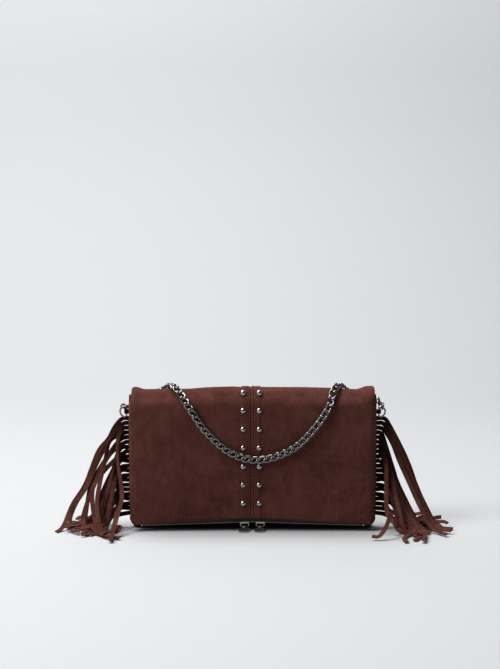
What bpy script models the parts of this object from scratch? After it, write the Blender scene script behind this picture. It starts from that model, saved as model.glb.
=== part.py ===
"""Fold-over suede pouch bag with side fringe, studs along its centre seam, a two-slider zip and a chain strap.

The frame: the origin is the middle of the base, +Z is up, +X is to the right and the flap faces -Y.
All sizes are in metres.
"""

import math

import bmesh
import bpy
from mathutils import Matrix, Vector

# Pouch, folded over
WIDTH = 0.270
HEIGHT = 0.160
SEAM_X = -0.0018
REAR_Y = 0.012
LOWER_FRONT_Y = -0.010
FLAP_INNER_Y = -0.013
FLAP_FACE_Y = -0.028
SUEDE = 0.0015
EDGE_ROUND = 0.009
BASE_ROUND = 0.004
REAR_LIP = 0.0020
SEAM_LOW_Z = 0.0083
HEM_CENTRE_Z = 0.0152
HEM_SIDE_Z = 0.0075
HEM_CORNER_ROUND = 0.008
SEW_GAP = 0.0003

# Fringe
FRINGE_BOTTOM_Z = 0.013
STRIP_COUNT = 21
STRIP_CUT = 0.0005
STRIP_THICKNESS = 0.0011
STRIP_LENGTH = 0.160
HEADER_INSIDE = 0.006
HEADER_OUTSIDE = 0.002
FLOOR_LIFT = 0.00075
FLOOR_GAP = 0.0001
STRIP_STEPS = 7

# Middle lines of the strips that lie in front, by side and place in the row, as points (out, forward, up):
# shares of the strip's length, and for the height of its level at the seam
LAID_STRIPS = {
    (-1, 20): (
        (0.05, 0, 0.99), (0.1, -0.01, 0.91), (0.14, -0.02, 0.81), (0.21, -0.01, 0.7), (0.26, 0.01, 0.54),
        (0.31, 0.04, 0.38), (0.39, 0.07, 0.22), (0.45, 0.15, 0.04), (0.5, 0.24, 0.01), (0.56, 0.33, 0.01),
    ),
    (-1, 19): (
        (0.05, 0.01, 0.98), (0.11, 0.02, 0.87), (0.18, 0.03, 0.73), (0.24, 0.04, 0.56), (0.29, 0.06, 0.4),
        (0.36, 0.09, 0.26), (0.4, 0.14, 0.12), (0.38, 0.21, 0.03), (0.33, 0.28, 0.04), (0.28, 0.33, 0.01),
    ),
    (-1, 18): (
        (0.04, 0.02, 0.99), (0.07, 0.06, 0.9), (0.07, 0.09, 0.68), (0.05, 0.12, 0.5), (0.04, 0.17, 0.33),
        (0.07, 0.29, 0.16), (0.09, 0.4, 0.03), (0.09, 0.5, 0.01), (0.07, 0.59, 0.01),
    ),
    (-1, 17): (
        (0.06, 0.02, 0.98), (0.13, 0.04, 0.91), (0.16, 0.07, 0.72), (0.19, 0.12, 0.52), (0.21, 0.18, 0.31),
        (0.19, 0.26, 0.11), (0.15, 0.33, 0.02), (0.09, 0.39, 0.01), (0.03, 0.44, 0.01),
    ),
    (-1, 16): (
        (0.06, -0.01, 0.97), (0.12, -0.02, 0.85), (0.18, -0.01, 0.66), (0.23, 0.01, 0.47),
        (0.26, 0.06, 0.27), (0.29, 0.12, 0.09), (0.28, 0.2, 0.03), (0.23, 0.25, 0.06), (0.17, 0.29, 0.01),
    ),
    (-1, 15): (
        (0.06, 0.01, 0.96), (0.14, 0.03, 0.84), (0.21, 0.05, 0.61), (0.27, 0.09, 0.38), (0.31, 0.15, 0.16),
        (0.29, 0.22, 0.05), (0.24, 0.26, 0.09), (0.19, 0.31, 0.02), (0.14, 0.36, 0.01),
    ),
    (-1, 13): (
        (0.07, 0.03, 0.94), (0.16, 0.07, 0.78), (0.24, 0.11, 0.57), (0.24, 0.17, 0.32), (0.21, 0.24, 0.12),
        (0.18, 0.31, 0.02), (0.14, 0.39, 0.01), (0.07, 0.46, 0.01),
    ),
    (1, 20): (
        (0.06, 0, 0.99), (0.11, 0, 0.89), (0.17, 0.01, 0.74), (0.23, 0.02, 0.56), (0.28, 0.03, 0.38),
        (0.34, 0.06, 0.21), (0.4, 0.09, 0.07), (0.47, 0.11, 0.01), (0.55, 0.14, 0.01),
    ),
    (1, 19): (
        (0.05, 0.01, 0.98), (0.11, 0.04, 0.86), (0.16, 0.06, 0.68), (0.23, 0.09, 0.48), (0.29, 0.11, 0.28),
        (0.36, 0.16, 0.1), (0.42, 0.21, 0.01), (0.5, 0.28, 0.01),
    ),
    (1, 18): (
        (0.04, 0.02, 0.97), (0.09, 0.06, 0.82), (0.14, 0.09, 0.62), (0.21, 0.12, 0.41), (0.28, 0.17, 0.21),
        (0.36, 0.23, 0.04), (0.41, 0.3, 0.01), (0.46, 0.38, 0.01),
    ),
    (1, 17): (
        (0.04, -0.01, 0.97), (0.07, -0.03, 0.85), (0.11, -0.03, 0.66), (0.15, -0.02, 0.47),
        (0.21, 0.01, 0.28), (0.27, 0.06, 0.11), (0.31, 0.12, 0.03), (0.29, 0.2, 0.05), (0.24, 0.25, 0.01),
    ),
    (1, 16): (
        (0.04, 0.02, 0.95), (0.07, 0.04, 0.81), (0.1, 0.06, 0.61), (0.14, 0.09, 0.43), (0.19, 0.14, 0.24),
        (0.26, 0.21, 0.08), (0.29, 0.31, 0.01), (0.26, 0.41, 0.01), (0.22, 0.5, 0.01),
    ),
    (1, 15): (
        (0.04, -0.02, 0.94), (0.07, -0.04, 0.77), (0.11, -0.04, 0.56), (0.16, -0.01, 0.37),
        (0.23, 0.04, 0.18), (0.28, 0.1, 0.04), (0.29, 0.19, 0.02), (0.24, 0.25, 0.06), (0.19, 0.3, 0.01),
    ),
    (1, 14): (
        (0.04, 0.04, 0.95), (0.06, 0.1, 0.78), (0.06, 0.16, 0.51), (0.06, 0.23, 0.27), (0.1, 0.29, 0.16),
        (0.12, 0.35, 0.27), (0.08, 0.39, 0.32), (0.04, 0.42, 0.16), (-0.01, 0.45, 0.02), (-0.06, 0.44, 0.01),
    ),
    (1, 13): (
        (0.04, 0.01, 0.94), (0.08, 0.04, 0.78), (0.14, 0.07, 0.54), (0.21, 0.12, 0.28), (0.28, 0.2, 0.07),
        (0.31, 0.31, 0.01), (0.3, 0.42, 0.01), (0.28, 0.54, 0.01),
    ),
    (1, 11): (
        (0.05, 0.02, 0.96), (0.09, 0.06, 0.77), (0.15, 0.11, 0.47), (0.21, 0.17, 0.18), (0.23, 0.26, 0.04),
        (0.19, 0.35, 0.01), (0.16, 0.44, 0.01), (0.17, 0.54, 0.01),
    ),
}

# Studs
STUD_RADIUS = 0.0035
STUD_HEIGHT = 0.0026
STUD_OFFSET_X = 0.0088
STUD_ROWS = 7
LOWEST_STUD_Z = 0.0318
HIGHEST_STUD_PAST_FOLD = 0.0148

# Zip
ZIP_LENGTH = 0.241
ZIP_CENTRE_Z = 0.0105
ZIP_SIDE_Z = 0.0065
TEETH_HEIGHT = 0.0022
TEETH_ROW_WIDTH = 0.0011
TEETH_ROW_GAP = 0.0014
TAPE_THICKNESS = 0.0006
TAPE_HEIGHT = 0.012
TAPE_ABOVE = 0.0006
STOP_LENGTH = 0.0025
RUNNING_GAP = 0.0003

# Sliders and pull tabs
SLIDER_LENGTH = 0.011
SLIDER_WIDTH = 0.0064
SLIDER_PLATE = 0.0010
SLIDER_FLANGE = 0.0009
CUT_OVERLAP = 0.0005
LEFT_SLIDER_X = -0.0090
RIGHT_SLIDER_X = 0.0085
BAIL_WIRE_RADIUS = 0.0007
BAIL_HALF_LENGTH = 0.0042
BAIL_DROP = 0.0038
EYE_WALL = 0.0008
EYE_WIDTH = 0.0036
TAB_WIDTH = 0.0110
TAB_LENGTH = 0.0125
TAB_THICKNESS = 0.0012
TAB_ROUND = 0.0018
TAB_SHIFT = 0.0008

# Rings at the side seams
RING_BELOW_FOLD = 0.0105
RING_RADIUS = 0.0058
RING_WIRE_RADIUS = 0.0010
RING_STAND_OFF = 0.0042
RING_TAB_HEIGHT = 0.0046
RING_TAB_WALL = 0.0012

# Chain strap
CHAIN_PITCH = 0.0081
CHAIN_WIRE = 0.0022
CHAIN_WIDTH = 0.0090
CHAIN_TWIST = math.radians(42)
CHAIN_SKEW = 0.0012
CHAIN_LIFT = 0.0036
CHAIN_OVERLAP = 0.0006
LINK_STEPS = 8
LINK_SIDES = 4
RING_HOLD_ANGLE = math.radians(66)
RING_PLAY = 0.0009
FIRST_ROLLS = (math.radians(112), math.radians(75), math.radians(38))
LAST_ROLLS = (math.radians(132), math.radians(75), math.radians(38))
SPECK = 0.00001
FLAT_ENOUGH = math.radians(9)
SMALLEST_ISLAND = 20

# Values that follow from the sizes above
HALF = WIDTH / 2
SEAM_REAR_Y = (REAR_Y + LOWER_FRONT_Y) / 2 - 0.001
SEAM_FLAP_Y = (FLAP_INNER_Y + FLAP_FACE_Y) / 2
FOLD_RADIUS = (REAR_Y - FLAP_FACE_Y) / 2
FOLD_Y = (REAR_Y + FLAP_FACE_Y) / 2
FOLD_Z = HEIGHT - FOLD_RADIUS
RING_Z = FOLD_Z - RING_BELOW_FOLD
FRINGE_TOP_Z = RING_Z - RING_TAB_HEIGHT
STRIP_PITCH = (FRINGE_TOP_Z - FRINGE_BOTTOM_Z) / STRIP_COUNT
STRIP_WIDTH = STRIP_PITCH - STRIP_CUT
STUD_PITCH = (FOLD_Z + HIGHEST_STUD_PAST_FOLD - LOWEST_STUD_Z) / (STUD_ROWS - 1)
ZIP_SLOPE = (ZIP_CENTRE_Z - ZIP_SIDE_Z) / (ZIP_LENGTH / 2)
SLOT_HALF = STRIP_THICKNESS / 2 + SEW_GAP
SLIDER_HEIGHT = TEETH_HEIGHT + 2 * (RUNNING_GAP + SLIDER_PLATE)
EYE_BORE = BAIL_WIRE_RADIUS + RUNNING_GAP
EYE_RADIUS = EYE_BORE + EYE_WALL
RING_X = HALF + RING_STAND_OFF


def clear_scene():
    for found in list(bpy.data.objects):
        bpy.data.objects.remove(found, do_unlink=True)


def make_collection(name, hidden=False):
    collection = bpy.data.collections.new(name)
    collection.hide_render = hidden
    bpy.context.scene.collection.children.link(collection)
    return collection


def make_material(name, colour, roughness, metallic):
    material = bpy.data.materials.new(name)
    material.use_nodes = True
    shader = material.node_tree.nodes["Principled BSDF"]
    shader.inputs["Base Color"].default_value = (*colour, 1.0)
    shader.inputs["Roughness"].default_value = roughness
    shader.inputs["Metallic"].default_value = metallic
    return material


def object_from(name, mesh, material, collection=None):
    made = bpy.data.objects.new(name, mesh)
    (collection or BAG).objects.link(made)
    if material is not None and not mesh.materials:
        mesh.materials.append(material)
    return made


def mesh_from(name, shape, smooth=False):
    bmesh.ops.recalc_face_normals(shape, faces=shape.faces)
    mesh = bpy.data.meshes.new(name)
    shape.to_mesh(mesh)
    shape.free()
    if smooth:
        mesh.shade_smooth()
        mesh.set_sharp_from_angle(angle=math.radians(40))
    return mesh


def box_into(shape, low, high):
    size = [high[axis] - low[axis] for axis in range(3)]
    middle = [(high[axis] + low[axis]) / 2 for axis in range(3)]
    place = Matrix.Translation(middle) @ Matrix.Diagonal((*size, 1.0))
    bmesh.ops.create_cube(shape, size=1.0, matrix=place)


def box_mesh(name, low, high):
    shape = bmesh.new()
    box_into(shape, low, high)
    return mesh_from(name, shape)


def cylinder_mesh(name, radius, length, place, sides=16):
    shape = bmesh.new()
    bmesh.ops.create_cone(
        shape, cap_ends=True, segments=sides, radius1=radius, radius2=radius, depth=length, matrix=place
    )
    return mesh_from(name, shape, smooth=True)


def add_boolean(target, other, operation, use_self=False, solver="EXACT"):
    """MANIFOLD is for the fringe, whose strips graze each other: EXACT leaves its surface open there."""
    modifier = target.modifiers.new(other.name, "BOOLEAN")
    modifier.object = other
    modifier.operation = operation
    modifier.solver = solver
    modifier.use_self = use_self


def island_of(start):
    """All points that hang together with this one."""
    found = {start}
    waiting = [start]
    while waiting:
        for edge in waiting.pop().link_edges:
            for point in edge.verts:
                if point not in found:
                    found.add(point)
                    waiting.append(point)
    return found


def keep_joined_mesh(target, cleaned):
    """Makes the joins permanent and drops the specks that a join leaves where two surfaces just touch.

    Cleaned also merges points that nearly coincide and faces that are nearly flat to each other.
    """
    graph = bpy.context.evaluated_depsgraph_get()
    mesh = bpy.data.meshes.new_from_object(target.evaluated_get(graph))
    target.modifiers.clear()
    target.data = mesh
    shape = bmesh.new()
    shape.from_mesh(mesh)
    if cleaned:
        bmesh.ops.remove_doubles(shape, verts=shape.verts, dist=SPECK)
        bmesh.ops.dissolve_degenerate(shape, edges=shape.edges, dist=SPECK)
    left = set(shape.verts)
    while left:
        island = island_of(next(iter(left)))
        left -= island
        if len(island) < SMALLEST_ISLAND:
            bmesh.ops.delete(shape, geom=list(island), context="VERTS")
    if cleaned:
        bmesh.ops.dissolve_limit(shape, angle_limit=FLAT_ENOUGH, verts=shape.verts, edges=shape.edges)
    bmesh.ops.triangulate(shape, faces=shape.faces)
    shape.to_mesh(mesh)
    shape.free()


def helper_from(name, mesh):
    """An object that only cuts or joins: it is drawn as wire and isn't rendered."""
    made = object_from(name, mesh, None, HELPERS)
    made.hide_render = True
    made.display_type = "WIRE"
    return made


def mesh_of_curve(name, points, radius, cyclic, resolution):
    """A wire along the points, as a closed mesh."""
    curve = bpy.data.curves.new(name, "CURVE")
    curve.dimensions = "3D"
    curve.bevel_depth = radius
    curve.bevel_resolution = resolution
    curve.use_fill_caps = not cyclic
    spline = curve.splines.new("POLY")
    spline.points.add(len(points) - 1)
    for held, point in zip(spline.points, points):
        held.co = (*point, 1.0)
    spline.use_cyclic_u = cyclic
    wire = bpy.data.objects.new(name, curve)
    HELPERS.objects.link(wire)
    mesh = bpy.data.meshes.new_from_object(wire.evaluated_get(bpy.context.evaluated_depsgraph_get()))
    bpy.data.objects.remove(wire)
    shape = bmesh.new()
    shape.from_mesh(mesh)
    bmesh.ops.remove_doubles(shape, verts=shape.verts, dist=1e-6)
    return mesh_from(name, shape, smooth=True)


def mix(first, second, share):
    return first + (second - first) * share


def smoothstep(low, high, value):
    share = min(max((value - low) / (high - low), 0.0), 1.0)
    return share * share * (3 - 2 * share)


# Pouch


def hem_z(x):
    """Height of the flap's lower edge: an arch, with rounded lower corners."""
    reach = min(abs(x) / (HALF - EDGE_ROUND), 1.0)
    height = mix(HEM_CENTRE_Z, HEM_SIDE_Z, reach**1.2)
    past = max(abs(x) - (HALF - HEM_CORNER_ROUND), 0.0)
    return height + HEM_CORNER_ROUND - math.sqrt(max(HEM_CORNER_ROUND**2 - past**2, 0.0))


def zip_z(x):
    """Height of the zip's middle line: highest at the centre, straight down to each side."""
    return ZIP_CENTRE_Z - ZIP_SLOPE * abs(x)


def fullness(x):
    """How far the pouch stands open at x: 1 across the middle, 0 at the side seams."""
    past = max(abs(x) - (HALF - EDGE_ROUND), 0.0) / EDGE_ROUND
    return math.sqrt(max(1.0 - past * past, 0.0))


def seam_half_gap(z):
    """Half the slot between the panels at the side seam, wider where fringe and ring tab pass through it."""
    if FRINGE_BOTTOM_Z - 0.001 <= z <= RING_Z + RING_TAB_HEIGHT:
        return SLOT_HALF
    return SEW_GAP / 2


def rear_levels():
    """Heights of the rows up the lower half of the pouch."""
    slot_top = RING_Z + RING_TAB_HEIGHT
    return [0.0105, FRINGE_BOTTOM_Z - 0.0008, 0.045, 0.085, slot_top - 0.0008, slot_top + 0.001, FOLD_Z]


def arc_point(centre_y, radius, turn):
    """A point of the fold: turn 0 is the rear, pi is the flap."""
    return Vector((0.0, centre_y + radius * math.cos(turn), FOLD_Z + radius * math.sin(turn)))


def fold_rows(centre_radius, centre_y, side, steps):
    """Middle and seam points of the rows over the fold. Side is 1 for the outer panels and -1 for the inner one."""
    seam_radius = (SEAM_REAR_Y - SEAM_FLAP_Y) / 2 + side * SEW_GAP / 2
    seam_y = (SEAM_REAR_Y + SEAM_FLAP_Y) / 2
    rows = []
    for step in range(1, steps):
        turn = math.pi * step / steps
        rows.append((arc_point(centre_y, centre_radius, turn), arc_point(seam_y, seam_radius, turn)))
    return rows


def outer_rows(x):
    """Rows of a back panel at x, from the base's rear edge over the fold to the hem: middle and seam points."""
    start = BASE_ROUND + REAR_LIP + SEW_GAP
    rows = [(Vector((0.0, REAR_Y, start)), Vector((0.0, SEAM_REAR_Y + SEW_GAP / 2, SEAM_LOW_Z + SEW_GAP)))]
    for z in rear_levels():
        rows.append((Vector((0.0, REAR_Y, z)), Vector((0.0, SEAM_REAR_Y + seam_half_gap(z), z))))
    rows += fold_rows(FOLD_RADIUS, FOLD_Y, 1, 8)
    for share in (0.0, 0.25, 0.5, 0.75, 0.93, 1.0):
        z = mix(FOLD_Z, hem_z(x), share)
        rows.append((Vector((0.0, FLAP_FACE_Y, z)), Vector((0.0, SEAM_FLAP_Y - SEW_GAP / 2, z))))
    return rows


def inner_rows(x):
    """Rows of the front panel at x: base, front of the lower half, inside of the fold, inside of the flap."""
    seam_low = SEAM_LOW_Z - SEW_GAP
    lip = Vector((0.0, REAR_Y, BASE_ROUND + REAR_LIP))
    rows = [(lip, Vector((0.0, SEAM_REAR_Y + SEW_GAP / 2, SEAM_LOW_Z)))]
    for turn in (0.0, 0.7, math.pi / 2):
        y = REAR_Y - BASE_ROUND + BASE_ROUND * math.cos(turn)
        z = BASE_ROUND - BASE_ROUND * math.sin(turn)
        seam = Vector((0.0, SEAM_REAR_Y + mix(SEW_GAP / 2, 0.0, turn / math.pi), seam_low - 0.0004 * turn))
        rows.append((Vector((0.0, y, z)), seam))
    for turn in (0.0, 0.8, math.pi / 2):
        y = LOWER_FRONT_Y + BASE_ROUND - BASE_ROUND * math.sin(turn)
        z = BASE_ROUND - BASE_ROUND * math.cos(turn)
        seam = Vector((0.0, SEAM_REAR_Y - mix(0.0, SEW_GAP / 2, turn / 1.6), seam_low + 0.0004 * turn))
        rows.append((Vector((0.0, y, z)), seam))
    for z in rear_levels():
        rows.append((Vector((0.0, LOWER_FRONT_Y, z)), Vector((0.0, SEAM_REAR_Y - seam_half_gap(z), z))))
    radius = (LOWER_FRONT_Y - FLAP_INNER_Y) / 2
    rows += fold_rows(radius, (LOWER_FRONT_Y + FLAP_INNER_Y) / 2, -1, 6)
    for share in (0.0, 0.35, 0.7, 1.0):
        z = mix(FOLD_Z, hem_z(x), share)
        rows.append((Vector((0.0, FLAP_INNER_Y, z)), Vector((0.0, SEAM_FLAP_Y + SEW_GAP / 2, z))))
    return rows


def side_columns():
    """x of the columns that round a panel's side edge, from where it starts to turn to the seam."""
    return [HALF - EDGE_ROUND + EDGE_ROUND * math.sin(math.radians(turn)) for turn in (0, 32, 62, 84, 90)]


def make_panel(name, columns, rows_at, outward):
    """One suede sheet: a grid through its rows and columns, thickened towards the inside of the pouch."""
    shape = bmesh.new()
    grid = []
    for x in columns:
        share = fullness(x)
        line = []
        for middle, seam in rows_at(x):
            point = mix(seam, middle, share)
            point.x = x
            line.append(shape.verts.new(point))
        grid.append(line)
    for left, right in zip(grid, grid[1:]):
        for low in range(len(left) - 1):
            shape.faces.new((left[low], left[low + 1], right[low + 1], right[low]))
    shape.normal_update()
    # The first face of the middle column tells which way the sheet's outside looks.
    middle_faces = [face for face in shape.faces if abs(face.calc_center_median().x) < HALF / 2]
    probe = max(middle_faces, key=lambda face: face.calc_center_median().dot(outward))
    if probe.normal.dot(outward) < 0:
        bmesh.ops.reverse_faces(shape, faces=shape.faces)
    mesh = bpy.data.meshes.new(name)
    shape.to_mesh(mesh)
    shape.free()
    mesh.shade_smooth()
    panel = object_from(name, mesh, MATERIALS["suede"])
    solid = panel.modifiers.new("thickness", "SOLIDIFY")
    solid.thickness = SUEDE
    solid.offset = -1.0
    solid.use_even_offset = True
    return panel


def make_pouch():
    right = [SEAM_X + SEW_GAP / 2, HALF / 3, HALF * 2 / 3] + side_columns()
    left = [SEAM_X - SEW_GAP / 2, -HALF / 3, -HALF * 2 / 3] + [-x for x in side_columns()]
    rear = Vector((0.0, 1.0, 0.0))
    down = Vector((0.0, 0.0, -1.0))
    make_panel("back_panel_right", right, outer_rows, rear)
    make_panel("back_panel_left", left, outer_rows, rear)
    across = sorted(side_columns() + [-x for x in side_columns()] + [-HALF / 3, HALF / 3])
    make_panel("front_panel", across, inner_rows, down)


# Fringe


def strip_numbers(index, side):
    """Three numbers from 0 to 1 that differ from strip to strip, the same on each run."""
    base = index * 0.618034 + (0.13 if side < 0 else 0.57)
    return base % 1.0, (base * 2.71 + 0.31) % 1.0, (base * 5.13 + 0.77) % 1.0


def smooth_curve(points, per_span):
    """Points of a smooth curve through the given ones."""
    ends = [points[0] * 2 - points[1]] + list(points) + [points[-1] * 2 - points[-2]]
    curve = []
    for a, b, c, d in zip(ends, ends[1:], ends[2:], ends[3:]):
        for step in range(per_span):
            t = step / per_span
            curve.append(
                (b * 2 + (c - a) * t + (a * 2 - b * 5 + c * 4 - d) * t * t + (b * 3 - a - c * 3 + d) * t**3) / 2
            )
    curve.append(points[-1].copy())
    return curve


def lengths_along(points):
    total = [0.0]
    for first, second in zip(points, points[1:]):
        total.append(total[-1] + (second - first).length)
    return total


def point_at(points, lengths, distance):
    """The point this far along a line of points, and the direction there."""
    for index in range(1, len(points)):
        if lengths[index] >= distance or index == len(points) - 1:
            step = lengths[index] - lengths[index - 1]
            share = min(max((distance - lengths[index - 1]) / step, 0.0), 1.0)
            heading = (points[index] - points[index - 1]).normalized()
            return mix(points[index - 1], points[index], share), heading


def strip_azimuth(index, side):
    """Which way a strip lies: 0 is straight out from the side seam and 90 degrees is straight forward."""
    high = index / (STRIP_COUNT - 1)
    first = strip_numbers(index, side)[0]
    return math.radians(mix(mix(-50, 70, first), mix(-15, 25, first), high))


def fallen_route(index, side, lay):
    """The route of a strip that falls straight down to the floor and crumples onto the pile."""
    level = FRINGE_BOTTOM_Z + (index + 0.5) * STRIP_PITCH
    high = index / (STRIP_COUNT - 1)
    first, second, third = strip_numbers(index, side)
    azimuth = strip_azimuth(index, side)
    reach = STRIP_LENGTH * (mix(0.24, 0.37, high) + 0.07 * (second - 0.5))
    out = Vector((math.cos(azimuth), -math.sin(azimuth), 0.0))
    start = Vector((0.0, 0.0, level))
    bunched = STRIP_PITCH * 0.8 * (index % 2)
    near = Vector((0.07 * STRIP_LENGTH, 0.0, level - STRIP_PITCH * mix(0.4, 1.1, high) + bunched / 2))
    fallen = max(mix(0.45, 0.60, high) * level + bunched, lay + STRIP_THICKNESS)
    half_way = out * reach * mix(0.62, 0.50, high) + Vector((0.7 * STRIP_PITCH, 0.0, fallen))
    landing = out * reach + Vector((0.0, 0.0, lay))
    route = [start, near, half_way, landing]
    left_over = STRIP_LENGTH - lengths_along(smooth_curve(route, 8))[-1]
    swing = math.radians(mix(35, 75, third)) * smoothstep(0.0, 0.3, left_over / STRIP_LENGTH)
    swing *= 1 if index % 2 else -1
    hump = STRIP_WIDTH * mix(2.3, 0.7, high) * mix(0.5, 1.25, second)
    waves = max(left_over / (7 * STRIP_WIDTH), 1.0)
    pieces = 10
    place = landing.copy()
    for piece in range(1, pieces + 1):
        share = piece / pieces
        heading = azimuth + swing * math.sin(math.tau * share * 1.1)
        rise = hump * math.sin(math.pi * share * waves) ** 2 * (1 - 0.75 * share)
        step = left_over / pieces * mix(0.42, 0.66, high)
        place = place + Vector((math.cos(heading), -math.sin(heading), 0.0)) * step
        route.append(Vector((max(place.x, STRIP_WIDTH * 1.3), place.y, lay + rise)))
    return route


def strip_route(index, side):
    """A strip's middle line: out of the seam, down to the floor and onto the pile."""
    level = FRINGE_BOTTOM_Z + (index + 0.5) * STRIP_PITCH
    high = index / (STRIP_COUNT - 1)
    lay = FLOOR_LIFT + STRIP_THICKNESS * 1.3 * (index % 5) * (1 - 0.4 * high)
    if (side, index) in LAID_STRIPS:
        route = [Vector((0.0, 0.0, level)), Vector((1.5 * HEADER_OUTSIDE, 0.0, level))]
        for out, forward, up in LAID_STRIPS[(side, index)]:
            route.append(Vector((out * STRIP_LENGTH, -forward * STRIP_LENGTH, max(up * level, lay))))
    else:
        route = fallen_route(index, side, lay)
    origin = Vector((HALF + HEADER_OUTSIDE, SEAM_REAR_Y, 0.0))
    points = []
    for point in smooth_curve(route, 6):
        placed = point + origin
        points.append(Vector((side * placed.x, placed.y, placed.z)))
    return points


def join_rings(shape, ring, following):
    for corner in range(4):
        after = (corner + 1) % 4
        shape.faces.new((ring[corner], ring[after], following[after], following[corner]))


def strip_mesh(name, index, side):
    """A flat strip with its root in the header. It leaves the seam upright and ends flat on the pile."""
    route = strip_route(index, side)
    lengths = lengths_along(route)
    first, second, third = strip_numbers(index, side)
    facing = Vector((0.5 * (second - 0.5), -1.0, mix(0.1, 0.5, third)))
    upright = Vector((0.0, -1.0, 0.0))
    flat = Vector((0.0, -mix(0.05, 0.9, first), 1.0))
    total = min(lengths[-1], STRIP_LENGTH)
    outside = [total * (step / STRIP_STEPS) ** 1.15 for step in range(STRIP_STEPS + 1)]
    stations = [-HEADER_OUTSIDE * 0.75] + outside
    shape = bmesh.new()
    rings = []
    for distance in stations:
        point, heading = point_at(route, lengths, distance)
        if distance < 0:
            point = route[0] + heading * distance
        normal = mix(upright, facing, smoothstep(0.006, 0.05, distance))
        normal = mix(normal, flat, 1 - smoothstep(0.006, 0.024, point.z) if distance > 0.02 else 0.0)
        normal = (normal - heading * normal.dot(heading)).normalized()
        # The root is a little thinner than the header, so that their faces don't coincide.
        fine = 1.0 if distance > 0 else 0.85
        across = normal.cross(heading) * STRIP_WIDTH / 2
        through = normal * STRIP_THICKNESS / 2 * fine
        corners = (across + through, through - across, -across - through, across - through)
        lowest = min((point + corner).z for corner in corners)
        lift = Vector((0.0, 0.0, max(FLOOR_GAP - lowest, 0.0)))
        rings.append([shape.verts.new(point + corner + lift) for corner in corners])
    for ring, following in zip(rings, rings[1:]):
        join_rings(shape, ring, following)
    shape.faces.new(rings[0])
    shape.faces.new(rings[-1])
    return mesh_from(name, shape, smooth=True)


def make_fringe(name, side):
    """One piece of suede: a header band in the side seam, cut into strips outside it."""
    outer = side * (HALF + HEADER_OUTSIDE)
    inner = side * (HALF - HEADER_INSIDE)
    low = (min(inner, outer), SEAM_REAR_Y - STRIP_THICKNESS / 2, FRINGE_BOTTOM_Z)
    high = (max(inner, outer), SEAM_REAR_Y + STRIP_THICKNESS / 2, FRINGE_TOP_Z)
    fringe = object_from(name, box_mesh(name, low, high), MATERIALS["fringe_suede"])
    for index in range(STRIP_COUNT):
        strip = helper_from(f"{name}_strip_{index + 1}", strip_mesh(f"{name}_strip_{index + 1}", index, side))
        add_boolean(fringe, strip, "UNION", solver="MANIFOLD")
    keep_joined_mesh(fringe, cleaned=False)


# Studs


def make_studs():
    """Domes in two columns beside the centre seam, set along the flap's face and onto the fold."""
    shape = bmesh.new()
    sides = 8
    profile = [(0.0, STUD_HEIGHT), (0.0017, STUD_HEIGHT * 0.88), (0.0029, STUD_HEIGHT * 0.52), (STUD_RADIUS, 0.0)]
    points = [shape.verts.new((radius, 0.0, height)) for radius, height in profile]
    points.append(shape.verts.new((0.0, 0.0, 0.0)))
    edges = [shape.edges.new(pair) for pair in zip(points, points[1:])]
    bmesh.ops.spin(
        shape, geom=points + edges, cent=(0, 0, 0), axis=(0, 0, 1), angle=math.tau, steps=sides, use_duplicate=False
    )
    bmesh.ops.remove_doubles(shape, verts=shape.verts, dist=1e-5)
    stud_mesh = mesh_from("stud", shape, smooth=True)
    for row in range(STUD_ROWS):
        along = LOWEST_STUD_Z + row * STUD_PITCH
        past = max(along - FOLD_Z, 0.0)
        turn = math.pi - past / FOLD_RADIUS
        facing = Vector((0.0, math.cos(turn), math.sin(turn)))
        foot = Vector((0.0, FOLD_Y, min(along, FOLD_Z))) + facing * (FOLD_RADIUS + SEW_GAP)
        for side, word in ((-1, "left"), (1, "right")):
            stud = object_from(f"stud_{word}_{row + 1}", stud_mesh, MATERIALS["dark_metal"])
            stud.location = foot + Vector((SEAM_X + side * STUD_OFFSET_X, 0.0, 0.0))
            stud.rotation_euler = Vector((0.0, 0.0, 1.0)).rotation_difference(facing).to_euler()


# Zip


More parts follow.
